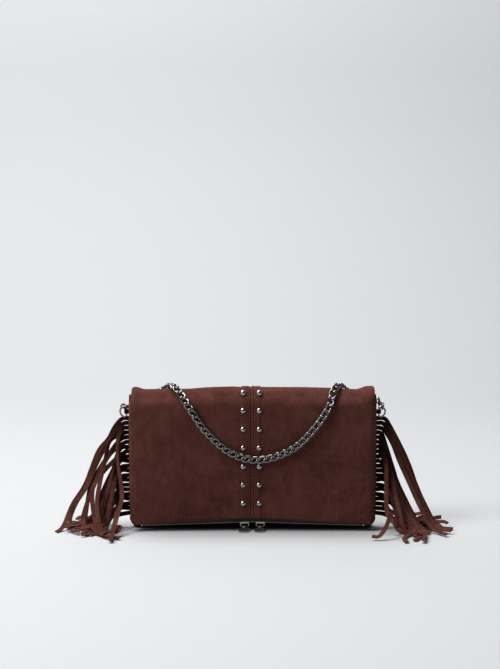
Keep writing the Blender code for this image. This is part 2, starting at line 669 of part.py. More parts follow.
def make_zip_side(word, side):
    """One tape, bent up beside the hem, and its row of teeth. Side is -1 at the front and 1 at the rear."""
    middle = SEAM_FLAP_Y
    teeth_inner = middle + side * TEETH_ROW_GAP / 2
    teeth_outer = teeth_inner + side * TEETH_ROW_WIDTH
    panel_face = FLAP_FACE_Y + SUEDE if side < 0 else FLAP_INNER_Y - SUEDE
    tape_start = teeth_outer + side * RUNNING_GAP
    tape_bend = middle + side * (SLIDER_WIDTH / 2 + RUNNING_GAP + TAPE_THICKNESS / 2)
    tape_wall = panel_face - side * (SEW_GAP + TAPE_THICKNESS / 2)
    half_length = ZIP_LENGTH / 2
    shape = bmesh.new()
    sections = []
    for share in (-1.0, -0.5, 0.0, 0.5, 1.0):
        x = share * half_length
        low = zip_z(x)
        section = [
            Vector((x, tape_start, low + TAPE_ABOVE)),
            Vector((x, tape_bend, low + TAPE_ABOVE)),
            Vector((x, tape_wall, hem_z(x) + TAPE_THICKNESS)),
            Vector((x, tape_wall, low + TAPE_HEIGHT)),
        ]
        sections.append([shape.verts.new(point) for point in section])
    for near, far in zip(sections, sections[1:]):
        for step in range(len(near) - 1):
            shape.faces.new((near[step], near[step + 1], far[step + 1], far[step]))
    tape_mesh = mesh_from(f"zip_tape_{word}", shape)
    tape = object_from(f"zip_tape_{word}", tape_mesh, MATERIALS["tape"])
    solid = tape.modifiers.new("thickness", "SOLIDIFY")
    solid.thickness = TAPE_THICKNESS
    solid.offset = 0.0
    solid.use_even_offset = True
    teeth = bmesh.new()
    rings = []
    for x in (-half_length, 0.0, half_length):
        low, high = zip_z(x) - TEETH_HEIGHT / 2, zip_z(x) + TEETH_HEIGHT / 2
        corners = ((teeth_inner, low), (teeth_outer, low), (teeth_outer, high), (teeth_inner, high))
        rings.append([teeth.verts.new((x, y, z)) for y, z in corners])
    for ring, following in zip(rings, rings[1:]):
        join_rings(teeth, ring, following)
    teeth.faces.new(rings[0])
    teeth.faces.new(rings[-1])
    object_from(f"zip_teeth_{word}", mesh_from(f"zip_teeth_{word}", teeth), MATERIALS["dark_metal"])


def make_zip_stops():
    """Metal blocks that close the zip's two ends, just past the teeth."""
    half_width = TEETH_ROW_GAP / 2 + TEETH_ROW_WIDTH
    half_height = TEETH_HEIGHT / 2 + 0.0003
    for word, side in (("left", -1), ("right", 1)):
        near = side * (ZIP_LENGTH / 2 + RUNNING_GAP)
        far = near + side * STOP_LENGTH
        level = zip_z(near)
        low = (min(near, far), SEAM_FLAP_Y - half_width, level - half_height)
        high = (max(near, far), SEAM_FLAP_Y + half_width, level + half_height)
        stop = object_from(f"zip_stop_{word}", box_mesh(f"zip_stop_{word}", low, high), MATERIALS["dark_metal"])
        edges = stop.modifiers.new("edges", "BEVEL")
        edges.width = 0.0004
        edges.segments = 1


def slider_channel_mesh():
    """What the two teeth rows and the tapes run through, along the slider's length."""
    shape = bmesh.new()
    reach = SLIDER_LENGTH
    rib_half = TEETH_ROW_GAP / 2 - RUNNING_GAP
    channel_half = SLIDER_WIDTH / 2 - SLIDER_FLANGE
    channel_height = TEETH_HEIGHT / 2 + RUNNING_GAP
    slot_low = TAPE_ABOVE - TAPE_THICKNESS / 2 - RUNNING_GAP
    slot_high = TAPE_ABOVE + TAPE_THICKNESS / 2 + RUNNING_GAP
    for side in (-1, 1):
        near, far, past = side * rib_half, side * channel_half, side * SLIDER_WIDTH
        slot_near = far - side * CUT_OVERLAP
        box_into(shape, (-reach, min(near, far), -channel_height), (reach, max(near, far), channel_height))
        box_into(shape, (-reach, min(slot_near, past), slot_low), (reach, max(slot_near, past), slot_high))
    return mesh_from("slider_channel", shape)


def bail_points():
    """The bail's middle line, below the slider's outer plate: an arch with rounded corners, in the XZ plane."""
    foot = -SLIDER_HEIGHT / 2 + SLIDER_PLATE / 2
    low = -SLIDER_HEIGHT / 2 - BAIL_DROP
    corner = 0.0016
    points = [Vector((-BAIL_HALF_LENGTH, 0.0, foot))]
    for side in (-1, 1):
        turns = (0, 45, 90) if side < 0 else (90, 45, 0)
        for turn in turns:
            angle = math.radians(turn)
            x = side * (BAIL_HALF_LENGTH - corner + corner * math.cos(angle))
            points.append(Vector((x, 0.0, low + corner - corner * math.sin(angle))))
    points.append(Vector((BAIL_HALF_LENGTH, 0.0, foot)))
    return points


def make_slider(word, x):
    """A slider round both teeth rows, with its bail hanging below."""
    origin = Vector((x, SEAM_FLAP_Y, zip_z(x)))
    half = Vector((SLIDER_LENGTH, SLIDER_WIDTH, SLIDER_HEIGHT)) / 2
    slider = object_from(f"slider_{word}", box_mesh(f"slider_{word}", -half, half), MATERIALS["dark_metal"])
    edges = slider.modifiers.new("edges", "BEVEL")
    edges.width = 0.0007
    edges.segments = 1
    channel = helper_from(f"slider_{word}_channel", slider_channel_mesh())
    bail = helper_from(
        f"slider_{word}_bail", mesh_of_curve(f"slider_{word}_bail", bail_points(), BAIL_WIRE_RADIUS, False, 2)
    )
    for piece in (slider, channel, bail):
        piece.location = origin
        piece.rotation_euler.y = math.copysign(math.atan(ZIP_SLOPE), x)
    add_boolean(slider, bail, "UNION")
    add_boolean(slider, channel, "DIFFERENCE", use_self=True)


def make_pull_tab(word, x):
    """A flat tab that hangs by its eye on the bail's lower bar and lies forward on the floor."""
    eye_place = Matrix.Rotation(math.pi / 2, 4, "Y")
    eye = cylinder_mesh(f"pull_tab_{word}", EYE_RADIUS, EYE_WIDTH, eye_place)
    tab = object_from(f"pull_tab_{word}", eye, MATERIALS["dark_metal"])
    top = -EYE_RADIUS + TAB_THICKNESS
    neck_low = (-EYE_WIDTH / 2 + 0.0002, -EYE_RADIUS - 0.0012, -EYE_RADIUS + 0.0001)
    neck_high = (EYE_WIDTH / 2 - 0.0002, -EYE_BORE + 0.0002, top - 0.0001)
    neck = helper_from(f"pull_tab_{word}_neck", box_mesh(f"pull_tab_{word}_neck", neck_low, neck_high))
    plate_near = -EYE_RADIUS - RUNNING_GAP
    plate = helper_from(
        f"pull_tab_{word}_plate",
        box_mesh(
            f"pull_tab_{word}_plate",
            (-TAB_WIDTH / 2, -TAB_LENGTH, -EYE_RADIUS),
            (TAB_WIDTH / 2, plate_near, top),
        ),
    )
    corners = plate.modifiers.new("corners", "BEVEL")
    corners.limit_method = "WEIGHT"
    corners.width = TAB_ROUND
    corners.segments = 3
    weights = plate.data.attributes.new("bevel_weight_edge", "FLOAT", "EDGE")
    for edge in plate.data.edges:
        ends = [plate.data.vertices[index].co for index in edge.vertices]
        if abs(ends[0].z - ends[1].z) > TAB_THICKNESS / 2:
            weights.data[edge.index].value = 1.0
    bore = helper_from(f"pull_tab_{word}_bore", cylinder_mesh("bore", EYE_BORE, EYE_WIDTH * 2, eye_place))
    bar_z = zip_z(x) - SLIDER_HEIGHT / 2 - BAIL_DROP
    # The tab droops from its bar until the far edge is just off the floor.
    span = math.hypot(TAB_LENGTH, EYE_RADIUS)
    droop = math.asin((bar_z - RUNNING_GAP) / span) - math.atan2(EYE_RADIUS, TAB_LENGTH)
    for piece in (tab, neck, plate, bore):
        piece.location = Vector((x, SEAM_FLAP_Y, bar_z))
        piece.rotation_euler.x = droop
    add_boolean(tab, neck, "UNION")
    add_boolean(tab, plate, "UNION")
    add_boolean(tab, bore, "DIFFERENCE")


def make_zip():
    make_zip_side("front", -1)
    make_zip_side("rear", 1)
    make_zip_stops()
    make_slider("left", LEFT_SLIDER_X)
    make_slider("right", RIGHT_SLIDER_X)
    make_pull_tab("left", LEFT_SLIDER_X - TAB_SHIFT)
    make_pull_tab("right", RIGHT_SLIDER_X - TAB_SHIFT)


# Rings and chain


def ring_points():
    """The D-ring's middle line in its own plane, straight side first, as (out, up)."""
    points = [(0.0, -RING_RADIUS * 0.8), (0.0, RING_RADIUS * 0.8)]
    centre = 0.0012
    for step in range(9):
        turn = math.radians(mix(80, -80, step / 8))
        points.append((centre + RING_RADIUS * math.cos(turn), RING_RADIUS * math.sin(turn)))
    return points


def make_ring(word, side):
    place = Vector((side * RING_X, SEAM_REAR_Y, RING_Z))
    points = [Vector((side * out, 0.0, up)) for out, up in ring_points()]
    mesh = mesh_of_curve(f"ring_{word}", points, RING_WIRE_RADIUS, True, 1)
    ring = object_from(f"ring_{word}", mesh, MATERIALS["dark_metal"])
    ring.location = place


def make_ring_tab(word, side):
    """A suede loop round the ring's straight side, with its root in the side seam."""
    bore = RING_WIRE_RADIUS + 0.0004
    radius = bore + RING_TAB_WALL
    place = Vector((side * RING_X, SEAM_REAR_Y, RING_Z))
    loop_mesh = cylinder_mesh(f"ring_tab_{word}", radius, RING_TAB_HEIGHT, Matrix.Identity(4), sides=14)
    loop = object_from(f"ring_tab_{word}", loop_mesh, MATERIALS["fringe_suede"])
    half = STRIP_THICKNESS / 2
    low = Vector((-side * (RING_STAND_OFF + HEADER_INSIDE), -half, -RING_TAB_HEIGHT / 2 + 0.0001))
    high = Vector((-side * (bore + RING_TAB_WALL / 2), half, RING_TAB_HEIGHT / 2 - 0.0001))
    root_low = (min(low.x, high.x), low.y, low.z)
    root_high = (max(low.x, high.x), high.y, high.z)
    root = helper_from(f"ring_tab_{word}_root", box_mesh(f"ring_tab_{word}_root", root_low, root_high))
    hole_mesh = cylinder_mesh(f"ring_tab_{word}_hole", bore, RING_TAB_HEIGHT * 2, Matrix.Identity(4), sides=12)
    hole = helper_from(f"ring_tab_{word}_hole", hole_mesh)
    for piece in (loop, root, hole):
        piece.location = place
    add_boolean(loop, root, "UNION")
    add_boolean(loop, hole, "DIFFERENCE")


def over_fold(across, degrees):
    """A point of the chain's route over the fold: 0 degrees is level with the fold at the rear, 180 at the flap."""
    turn = math.radians(degrees)
    reach = FOLD_RADIUS + CHAIN_LIFT
    return Vector((across * HALF, FOLD_Y + reach * math.cos(turn), FOLD_Z + reach * math.sin(turn)))


def on_flap(across, up):
    """A point of the chain's route on the flap, as shares of half the width and of the fold's height."""
    return Vector((across * HALF, FLAP_FACE_Y - CHAIN_LIFT, up * FOLD_Z))


def beside_seam(side, out, back, up):
    """A point of the chain's route at the rear corner, measured from the side edge, the rear and the fold's height."""
    return Vector((side * (HALF + out), REAR_Y + back, FOLD_Z + up))


def ring_hold(side):
    """The point of the ring's wire that the chain's end link hangs on."""
    out = 0.0012 + RING_RADIUS * math.cos(RING_HOLD_ANGLE)
    up = RING_RADIUS * math.sin(RING_HOLD_ANGLE)
    return Vector((side * (RING_X + out), SEAM_REAR_Y, RING_Z + up))


def chain_route():
    """The chain's middle line: left ring, up the rear, over the fold, across the flap and back to the right ring."""
    return [
        ring_hold(-1),
        beside_seam(-1, 0.0058, -0.0050, 0.0),
        beside_seam(-1, -0.0010, 0.0028, 0.0052),
        over_fold(-0.920, 15),
        over_fold(-0.845, 21),
        over_fold(-0.770, 31),
        over_fold(-0.712, 50),
        over_fold(-0.672, 76),
        over_fold(-0.640, 104),
        over_fold(-0.593, 136),
        on_flap(-0.511, 0.991),
        on_flap(-0.391, 0.819),
        on_flap(-0.230, 0.668),
        on_flap(-0.071, 0.590),
        on_flap(0.081, 0.580),
        on_flap(0.220, 0.617),
        on_flap(0.366, 0.694),
        on_flap(0.512, 0.844),
        on_flap(0.612, 0.996),
        over_fold(0.650, 134),
        over_fold(0.678, 104),
        over_fold(0.706, 76),
        over_fold(0.742, 50),
        over_fold(0.800, 32),
        over_fold(0.870, 23),
        over_fold(0.935, 20),
        beside_seam(1, -0.0005, 0.0028, 0.0062),
        beside_seam(1, 0.0058, -0.0050, 0.0),
        ring_hold(1),
    ]


def add_link(shape, centre, along, across, out, half_length):
    """A twisted oval link: its two ends are turned apart, so that each sits square in its neighbour."""
    radius = CHAIN_WIRE / 2
    half_width = CHAIN_WIDTH / 2 - radius
    middle = []
    for step in range(LINK_STEPS):
        turn = math.tau * step / LINK_STEPS
        run = half_length * math.cos(turn) + CHAIN_SKEW * math.sin(turn)
        twist = CHAIN_TWIST * math.cos(turn)
        wide = half_width * math.sin(turn)
        middle.append(
            centre + along * run + across * wide * math.cos(twist) + out * wide * math.sin(twist)
        )
    rings = []
    for step in range(LINK_STEPS):
        heading = (middle[(step + 1) % LINK_STEPS] - middle[step - 1]).normalized()
        inward = centre - middle[step]
        inward = (inward - heading * inward.dot(heading)).normalized()
        side = heading.cross(inward)
        ring = []
        for corner in range(LINK_SIDES):
            turn = math.tau * corner / LINK_SIDES
            ring.append(shape.verts.new(middle[step] + (inward * math.cos(turn) + side * math.sin(turn)) * radius))
        rings.append(ring)
    for step in range(LINK_STEPS):
        ring, following = rings[step], rings[(step + 1) % LINK_STEPS]
        for corner in range(LINK_SIDES):
            after = (corner + 1) % LINK_SIDES
            shape.faces.new((ring[corner], ring[after], following[after], following[corner]))


def link_frame(centre, heading, roll):
    """The link's across and outward directions, lying on the bag, then rolled about its length."""
    axis = Vector((centre.x, FOLD_Y, min(centre.z, FOLD_Z)))
    out = centre - axis
    out = (out - heading * out.dot(heading)).normalized()
    across = out.cross(heading)
    turned = Matrix.Rotation(roll, 3, heading)
    return turned @ across, turned @ out


def make_chain():
    """All links as one piece: every second link is joined to its two neighbours where they touch."""
    route = smooth_curve(chain_route(), 10)
    lengths = lengths_along(route)
    held = RING_WIRE_RADIUS + CHAIN_WIRE / 2 + RING_PLAY
    count = round((lengths[-1] - CHAIN_PITCH) / CHAIN_PITCH) + 1
    count += (count + 1) % 2
    pitch = lengths[-1] / (count + 0.2)
    for _ in range(8):
        half_length = (pitch + CHAIN_WIRE - CHAIN_OVERLAP) / 2
        pitch = (lengths[-1] - 2 * (half_length - held)) / (count - 1)
    first_shape = bmesh.new()
    second_shape = bmesh.new()
    for index in range(count):
        centre, heading = point_at(route, lengths, half_length - held + index * pitch)
        roll = 0.0
        if index < len(FIRST_ROLLS):
            roll = FIRST_ROLLS[index]
        if count - 1 - index < len(FIRST_ROLLS):
            roll = -LAST_ROLLS[count - 1 - index]
        across, out = link_frame(centre, heading, roll)
        add_link(first_shape if index % 2 == 0 else second_shape, centre, heading, across, out, half_length)
    chain = object_from("chain_strap", mesh_from("chain_strap", first_shape, smooth=True), MATERIALS["dark_metal"])
    between = helper_from("chain_second_links", mesh_from("chain_second_links", second_shape, smooth=True))
    add_boolean(chain, between, "UNION")
    keep_joined_mesh(chain, cleaned=True)


clear_scene()
BAG = make_collection("fringed_suede_bag")
HELPERS = make_collection("cutters_and_joiners", hidden=True)
MATERIALS = {
    "suede": make_material("suede", (0.075, 0.030, 0.024), 0.95, 0.0),
    "fringe_suede": make_material("fringe_suede", (0.070, 0.026, 0.020), 0.95, 0.0),
    "tape": make_material("tape", (0.012, 0.010, 0.010), 0.85, 0.0),
    "dark_metal": make_material("dark_metal", (0.16, 0.155, 0.15), 0.28, 1.0),
}
make_pouch()
make_fringe("fringe_left", -1)
make_fringe("fringe_right", 1)
make_studs()
make_zip()
for WORD, SIDE in (("left", -1), ("right", 1)):
    make_ring(WORD, SIDE)
    make_ring_tab(WORD, SIDE)
make_chain()
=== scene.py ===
import math

import bmesh
import bpy
from mathutils import Matrix, Vector, noise
from mathutils.bvhtree import BVHTree


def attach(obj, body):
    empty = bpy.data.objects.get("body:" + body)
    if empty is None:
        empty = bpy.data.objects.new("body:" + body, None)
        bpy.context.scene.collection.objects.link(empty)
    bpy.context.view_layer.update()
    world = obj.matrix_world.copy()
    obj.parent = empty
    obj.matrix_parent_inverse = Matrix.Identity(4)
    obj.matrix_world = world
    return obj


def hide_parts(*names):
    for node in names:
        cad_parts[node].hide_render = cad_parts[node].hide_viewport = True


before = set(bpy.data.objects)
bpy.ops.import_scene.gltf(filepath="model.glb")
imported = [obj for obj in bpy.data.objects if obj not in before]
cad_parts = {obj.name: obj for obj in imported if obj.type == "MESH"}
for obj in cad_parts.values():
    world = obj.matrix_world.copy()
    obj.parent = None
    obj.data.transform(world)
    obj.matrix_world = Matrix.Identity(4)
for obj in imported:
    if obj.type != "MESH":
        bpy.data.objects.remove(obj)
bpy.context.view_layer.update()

# Sizes of the bag, in metres, as its solids have them
WIDTH = 0.270
HEIGHT = 0.160
SEAM_X = -0.0018
REAR_Y = 0.012
LOWER_FRONT_Y = -0.010
FLAP_INNER_Y = -0.013
FLAP_FACE_Y = -0.028
SUEDE = 0.0015
EDGE_ROUND = 0.009
BASE_ROUND = 0.004
REAR_LIP = 0.0020
SEAM_LOW_Z = 0.0083
HEM_CENTRE_Z = 0.0152
HEM_SIDE_Z = 0.0075
HEM_CORNER_ROUND = 0.0055
SEW_GAP = 0.0003
FRINGE_BOTTOM_Z = 0.013
STRIP_COUNT = 21
STRIP_CUT = 0.0005
STRIP_THICKNESS = 0.0011
STRIP_LENGTH = 0.160
HEADER_INSIDE = 0.006
HEADER_OUTSIDE = 0.002
FLOOR_LIFT = 0.00075
STUD_RADIUS = 0.0035
STUD_HEIGHT = 0.0026
STUD_OFFSET_X = 0.0088
STUD_ROWS = 7
LOWEST_STUD_Z = 0.0318
HIGHEST_STUD_PAST_FOLD = 0.0148
ZIP_LENGTH = 0.241
ZIP_CENTRE_Z = 0.0105
ZIP_SIDE_Z = 0.0065
TEETH_HEIGHT = 0.0022
TEETH_ROW_WIDTH = 0.0011
TEETH_ROW_GAP = 0.0014
RING_BELOW_FOLD = 0.0105
RING_RADIUS = 0.0058
RING_WIRE_RADIUS = 0.0010
RING_BOW = 0.0012
RING_STAND_OFF = 0.0042
RING_TAB_HEIGHT = 0.0046
RING_TAB_WALL = 0.0012
CHAIN_PITCH = 0.0081
CHAIN_WIRE = 0.0022
CHAIN_WIDTH = 0.0090
CHAIN_LIFT = 0.0036
CHAIN_OVERLAP = 0.0006
RING_HOLD_ANGLE = math.radians(66)
RING_PLAY = 0.0009
FIRST_ROLLS = (math.radians(112), math.radians(75), math.radians(38))
LAST_ROLLS = (math.radians(132), math.radians(75), math.radians(38))

# The chain's route from ring to ring, in the terms of beside_seam, over_fold and on_flap
CHAIN_LEFT_CORNER = ((0.0062, -0.0070, -0.0058), (0.0020, 0.0020, -0.0075), (-0.0065, 0.0036, -0.0050))
CHAIN_LEFT_FOLD = ((-0.880, 8), (-0.790, 22), (-0.720, 42), (-0.672, 76), (-0.640, 104), (-0.593, 136))
CHAIN_ON_FLAP = (
    (-0.511, 0.991), (-0.391, 0.819), (-0.230, 0.668), (-0.071, 0.590), (0.081, 0.580),
    (0.220, 0.617), (0.366, 0.694), (0.512, 0.844), (0.612, 0.996),
)
CHAIN_RIGHT_FOLD = ((0.650, 134), (0.678, 104), (0.706, 76), (0.736, 46), (0.790, 25), (0.870, 14))
CHAIN_RIGHT_CORNER = ((-0.0075, 0.0034, 0.0035), (0.0016, 0.0026, 0.0015), (0.0062, -0.0060, -0.0025))

# Front strips by side and row: out and forward as shares of their length, up as a share of their level
LAID_STRIPS = {
    (-1, 20): (
        (0.05, 0, 0.99), (0.1, -0.01, 0.91), (0.14, -0.02, 0.81), (0.21, -0.01, 0.7), (0.26, 0.01, 0.54),
        (0.31, 0.04, 0.38), (0.39, 0.07, 0.22), (0.45, 0.15, 0.04), (0.5, 0.24, 0.01), (0.56, 0.33, 0.01),
    ),
    (-1, 19): (
        (0.05, 0.01, 0.98), (0.11, 0.02, 0.87), (0.18, 0.03, 0.73), (0.24, 0.04, 0.56), (0.29, 0.06, 0.4),
        (0.36, 0.09, 0.26), (0.4, 0.14, 0.12), (0.38, 0.21, 0.03), (0.33, 0.28, 0.04), (0.28, 0.33, 0.01),
    ),
    (-1, 18): (
        (0.04, 0.02, 0.99), (0.07, 0.06, 0.9), (0.07, 0.09, 0.68), (0.05, 0.12, 0.5), (0.04, 0.17, 0.33),
        (0.07, 0.29, 0.16), (0.09, 0.4, 0.03), (0.09, 0.5, 0.01), (0.07, 0.59, 0.01),
    ),
    (-1, 17): (
        (0.06, 0.02, 0.98), (0.13, 0.04, 0.91), (0.16, 0.07, 0.72), (0.19, 0.12, 0.52), (0.21, 0.18, 0.31),
        (0.19, 0.26, 0.11), (0.15, 0.33, 0.02), (0.09, 0.39, 0.01), (0.03, 0.44, 0.01),
    ),
    (-1, 16): (
        (0.06, -0.01, 0.97), (0.12, -0.02, 0.85), (0.2, -0.01, 0.66), (0.265, 0.01, 0.47),
        (0.29, 0.06, 0.27), (0.3, 0.12, 0.09), (0.28, 0.2, 0.03), (0.23, 0.25, 0.06), (0.17, 0.29, 0.01),
    ),
    (-1, 15): (
        (0.06, 0.01, 0.96), (0.14, 0.03, 0.84), (0.21, 0.05, 0.61), (0.27, 0.09, 0.38), (0.31, 0.15, 0.16),
        (0.29, 0.22, 0.05), (0.24, 0.26, 0.09), (0.19, 0.31, 0.02), (0.14, 0.36, 0.01),
    ),
    (-1, 13): (
        (0.07, 0.03, 0.94), (0.16, 0.07, 0.78), (0.24, 0.11, 0.57), (0.24, 0.17, 0.32), (0.21, 0.24, 0.12),
        (0.18, 0.31, 0.02), (0.14, 0.39, 0.01), (0.07, 0.46, 0.01),
    ),
    (1, 20): (
        (0.06, 0, 0.99), (0.11, 0, 0.89), (0.17, 0.01, 0.74), (0.23, 0.02, 0.56), (0.28, 0.03, 0.38),
        (0.34, 0.06, 0.21), (0.4, 0.09, 0.07), (0.47, 0.11, 0.01), (0.55, 0.14, 0.01),
    ),
    (1, 19): (
        (0.05, 0.01, 0.99), (0.11, 0.03, 0.88), (0.165, 0.05, 0.71), (0.235, 0.07, 0.5), (0.295, 0.09, 0.31),
        (0.36, 0.14, 0.12), (0.42, 0.19, 0.02), (0.5, 0.26, 0.01),
    ),
    (1, 18): (
        (0.05, 0.02, 0.98), (0.105, 0.05, 0.86), (0.155, 0.07, 0.68), (0.225, 0.1, 0.46), (0.29, 0.14, 0.26),
        (0.36, 0.2, 0.07), (0.41, 0.27, 0.01), (0.46, 0.35, 0.01),
    ),
    (1, 17): (
        (0.04, -0.01, 0.97), (0.07, -0.03, 0.85), (0.11, -0.03, 0.66), (0.15, -0.02, 0.47),
        (0.21, 0.01, 0.28), (0.27, 0.06, 0.11), (0.31, 0.12, 0.03), (0.29, 0.2, 0.05), (0.24, 0.25, 0.01),
    ),
    (1, 16): (
        (0.04, 0.02, 0.95), (0.07, 0.04, 0.81), (0.1, 0.06, 0.61), (0.14, 0.09, 0.43), (0.19, 0.14, 0.24),
        (0.26, 0.21, 0.08), (0.29, 0.31, 0.01), (0.26, 0.41, 0.01), (0.22, 0.5, 0.01),
    ),
    (1, 15): (
        (0.04, -0.02, 0.94), (0.07, -0.04, 0.77), (0.11, -0.04, 0.56), (0.16, -0.01, 0.37),
        (0.23, 0.04, 0.18), (0.28, 0.1, 0.04), (0.29, 0.19, 0.02), (0.24, 0.25, 0.06), (0.19, 0.3, 0.01),
    ),
    (1, 14): (
        (0.04, 0.04, 0.95), (0.06, 0.1, 0.78), (0.06, 0.16, 0.51), (0.06, 0.23, 0.27), (0.1, 0.29, 0.16),
        (0.12, 0.35, 0.27), (0.08, 0.39, 0.32), (0.04, 0.42, 0.16), (-0.01, 0.45, 0.02), (-0.06, 0.44, 0.01),
    ),
    (1, 13): (
        (0.04, 0.01, 0.94), (0.08, 0.04, 0.78), (0.14, 0.07, 0.54), (0.21, 0.12, 0.28), (0.28, 0.2, 0.07),
        (0.31, 0.31, 0.01), (0.3, 0.42, 0.01), (0.28, 0.54, 0.01),
    ),
    (1, 11): (
        (0.05, 0.02, 0.96), (0.09, 0.06, 0.77), (0.15, 0.11, 0.47), (0.21, 0.17, 0.18), (0.23, 0.26, 0.04),
        (0.19, 0.35, 0.01), (0.16, 0.44, 0.01), (0.17, 0.54, 0.01),
    ),
}

HALF = WIDTH / 2
SEAM_REAR_Y = (REAR_Y + LOWER_FRONT_Y) / 2 - 0.001
SEAM_FLAP_Y = (FLAP_INNER_Y + FLAP_FACE_Y) / 2
FOLD_RADIUS = (REAR_Y - FLAP_FACE_Y) / 2
FOLD_Y = (REAR_Y + FLAP_FACE_Y) / 2
FOLD_Z = HEIGHT - FOLD_RADIUS
RING_Z = FOLD_Z - RING_BELOW_FOLD
FRINGE_TOP_Z = RING_Z - RING_TAB_HEIGHT
STRIP_PITCH = (FRINGE_TOP_Z - FRINGE_BOTTOM_Z) / STRIP_COUNT
STRIP_WIDTH = STRIP_PITCH - STRIP_CUT
STUD_PITCH = (FOLD_Z + HIGHEST_STUD_PAST_FOLD - LOWEST_STUD_Z) / (STUD_ROWS - 1)
ZIP_SLOPE = (ZIP_CENTRE_Z - ZIP_SIDE_Z) / (ZIP_LENGTH / 2)
SLOT_HALF = STRIP_THICKNESS / 2 + SEW_GAP
RING_X = HALF + RING_STAND_OFF

# Sizes of what is only seen
COLUMN_STEP = 0.0024
FINE_STEP = 0.00045
FINE_REACH = 0.0135
BAND_HALF = 0.0104
BAND_LIFT = 0.0008
VALLEY_HALF = 0.0008
VALLEY_DEPTH = 0.0013
RIDGE_X = 0.0016
RIDGE_LIFT = 0.0004
SIDE_FADE_FROM = 0.012
SIDE_FADE_TO = 0.002
WAVE_HEIGHT = 0.0013
RIPPLE_HEIGHT = 0.00045
INNER_WAVE_HEIGHT = 0.0007
TOP_HOLLOW = 0.0020
TOP_HOLLOW_MORE = 0.0022
TOP_PUFF_RIGHT = 0.0036
TOP_PUFF_LEFT = 0.0022
TOP_CORNER_PUFF = 0.0014
SEAM_SPREAD = 0.0004
FRONT_START_Z = 0.0095
STITCH_ROW_X = 0.0030
STITCH_GROOVE = 0.0004
STITCH_GROOVE_HALF = 0.0007
SIDE_GROOVE = 0.00035
HEM_GROOVE = 0.0005
GROOVE_HALF = 0.0009
HEM_ROLL = 0.0005
HEM_ROLL_HALF = 0.0016
HEM_ROLL_ABOVE = 0.0024
HEM_EDGE_DROP = 0.0007
HEM_EDGE_HEIGHT = 0.0011
SIDE_STITCH_INSIDE = 0.0036
CENTRE_STITCH_PITCH = 0.0037
HEM_STITCH_PITCH = 0.0047
HEM_STITCH_ABOVE = 0.0050
STITCH_RADIUS = 0.00042
HOLE_RADIUS = 0.00055
HOLE_EDGE_LIFT = 0.00004
HOLE_LIFT = 0.00012
RIBBON_STEPS = 56
RIBBON_LOOK = 0.003
RIBBON_CLEAR = 0.0002
RIBBON_SECTION = (
    (-1, 0.55), (-0.93, 1), (0, 1), (0.93, 1), (1, 0.55),
    (1, -0.55), (0.93, -1), (0, -1), (-0.93, -1), (-1, -0.55),
)
LINK_STEPS = 28
LINK_WIRE = 0.0027
LINK_TWIST = math.radians(32)
CHAIN_SINK = 0.0038
LINK_SKEW = 0.0019
LINK_LONGER = 0.0002
LINK_SIDES = 10
LINK_FLAT = 0.80
TOOTH_PITCH = 0.0022
STUD_PROFILE = (
    (0.10, 0.995), (0.24, 0.965), (0.40, 0.90), (0.56, 0.79), (0.70, 0.64),
    (0.82, 0.46), (0.91, 0.28), (0.965, 0.13), (1.0, 0.05), (1.0, -0.28),
)
STUD_SIDES = 40
LOOP_PLAY = 0.0003
LOOP_NECK = 0.0026
LOOP_NECK_HALF = 0.0006
PILE_STEPS = 10

# Painted shade on the suede: darker out from the side seam, behind the front strips, and close to the floor
SHADE_OUT_FROM = 0.008
SHADE_OUT_TO = 0.036
SHADE_BEHIND_FROM = -0.018
SHADE_BEHIND_TO = -0.004
SHADE_ROOTS = 0.72
SHADE_BASE_FROM = 0.014
SHADE_BASE_TO = 0.040
SHADE_BASE_KEPT = 0.20

SIDES = (("left", -1), ("right", 1))

# Camera, floor and light
CAMERA_LENS = 85.0
CAMERA_DISTANCE = 1.74
CAMERA_ELEVATION = math.radians(10)
CAMERA_AIM = Vector((-0.0029, -0.011, 0.0795))
CAMERA_SHIFT = 0.1845
FLOOR_HALF_WIDTH = 4.0
FLOOR_FRONT_Y = -3.0
FLOOR_BEND_Y = 0.9
FLOOR_BEND = 0.6
WALL_TOP = 3.5
WORLD_COLOUR = (0.93, 0.96, 1.0, 1.0)
WORLD_STRENGTH = 0.115


# Materials


def nodes_of(name):
    """For a new material: helpers that add a node and fill its shader, and the place on the object."""
    material = bpy.data.materials.new(name)
    material.use_nodes = True
    tree = material.node_tree

    def fill(node, values):
        """Set inputs and options by name or number; a socket as value is linked."""
        for key, value in values.items():
            if isinstance(value, bpy.types.NodeSocket):
                tree.links.new(value, node.inputs[key])
            elif isinstance(key, int) or key in node.inputs:
                node.inputs[key].default_value = value
            else:
                setattr(node, key, value)

    def add(kind, output, values):
        node = tree.nodes.new("ShaderNode" + kind)
        fill(node, values)
        return node.outputs[output]

    def finish(values):
        fill(tree.nodes["Principled BSDF"], values)
        return material

    return add, finish, add("TexCoord", "Object", {})


def maths(add, operation, *values):
    return add("Math", 0, {"operation": operation, **dict(enumerate(values))})


def smooth_range(add, value, low, high, first, last):
    """First where the value is low, last where it is high, and a smooth change between."""
    ends = {"From Min": low, "From Max": high, "To Min": first, "To Max": last}
    return add("MapRange", "Result", {"interpolation_type": "SMOOTHSTEP", "Value": value, **ends})


def colours_along(add, value, *stops):
    """Colours along a value, through stops of (position, colour) from the lowest to the highest."""
    colour = add("ValToRGB", "Color", {"Fac": value})
    elements = colour.node.color_ramp.elements
    for index, (position, tone) in enumerate((stops[0], stops[-1])):
        elements[index].position = position
        elements[index].color = (*tone, 1.0)
    for position, tone in stops[1:-1]:
        elements.new(position).color = (*tone, 1.0)
    return colour


def bump(add, height, strength, distance, **below):
    """A bump from a height, on top of another normal where one is given."""
    return add("Bump", "Normal", {"Height": height, "Strength": strength, "Distance": distance, **below})


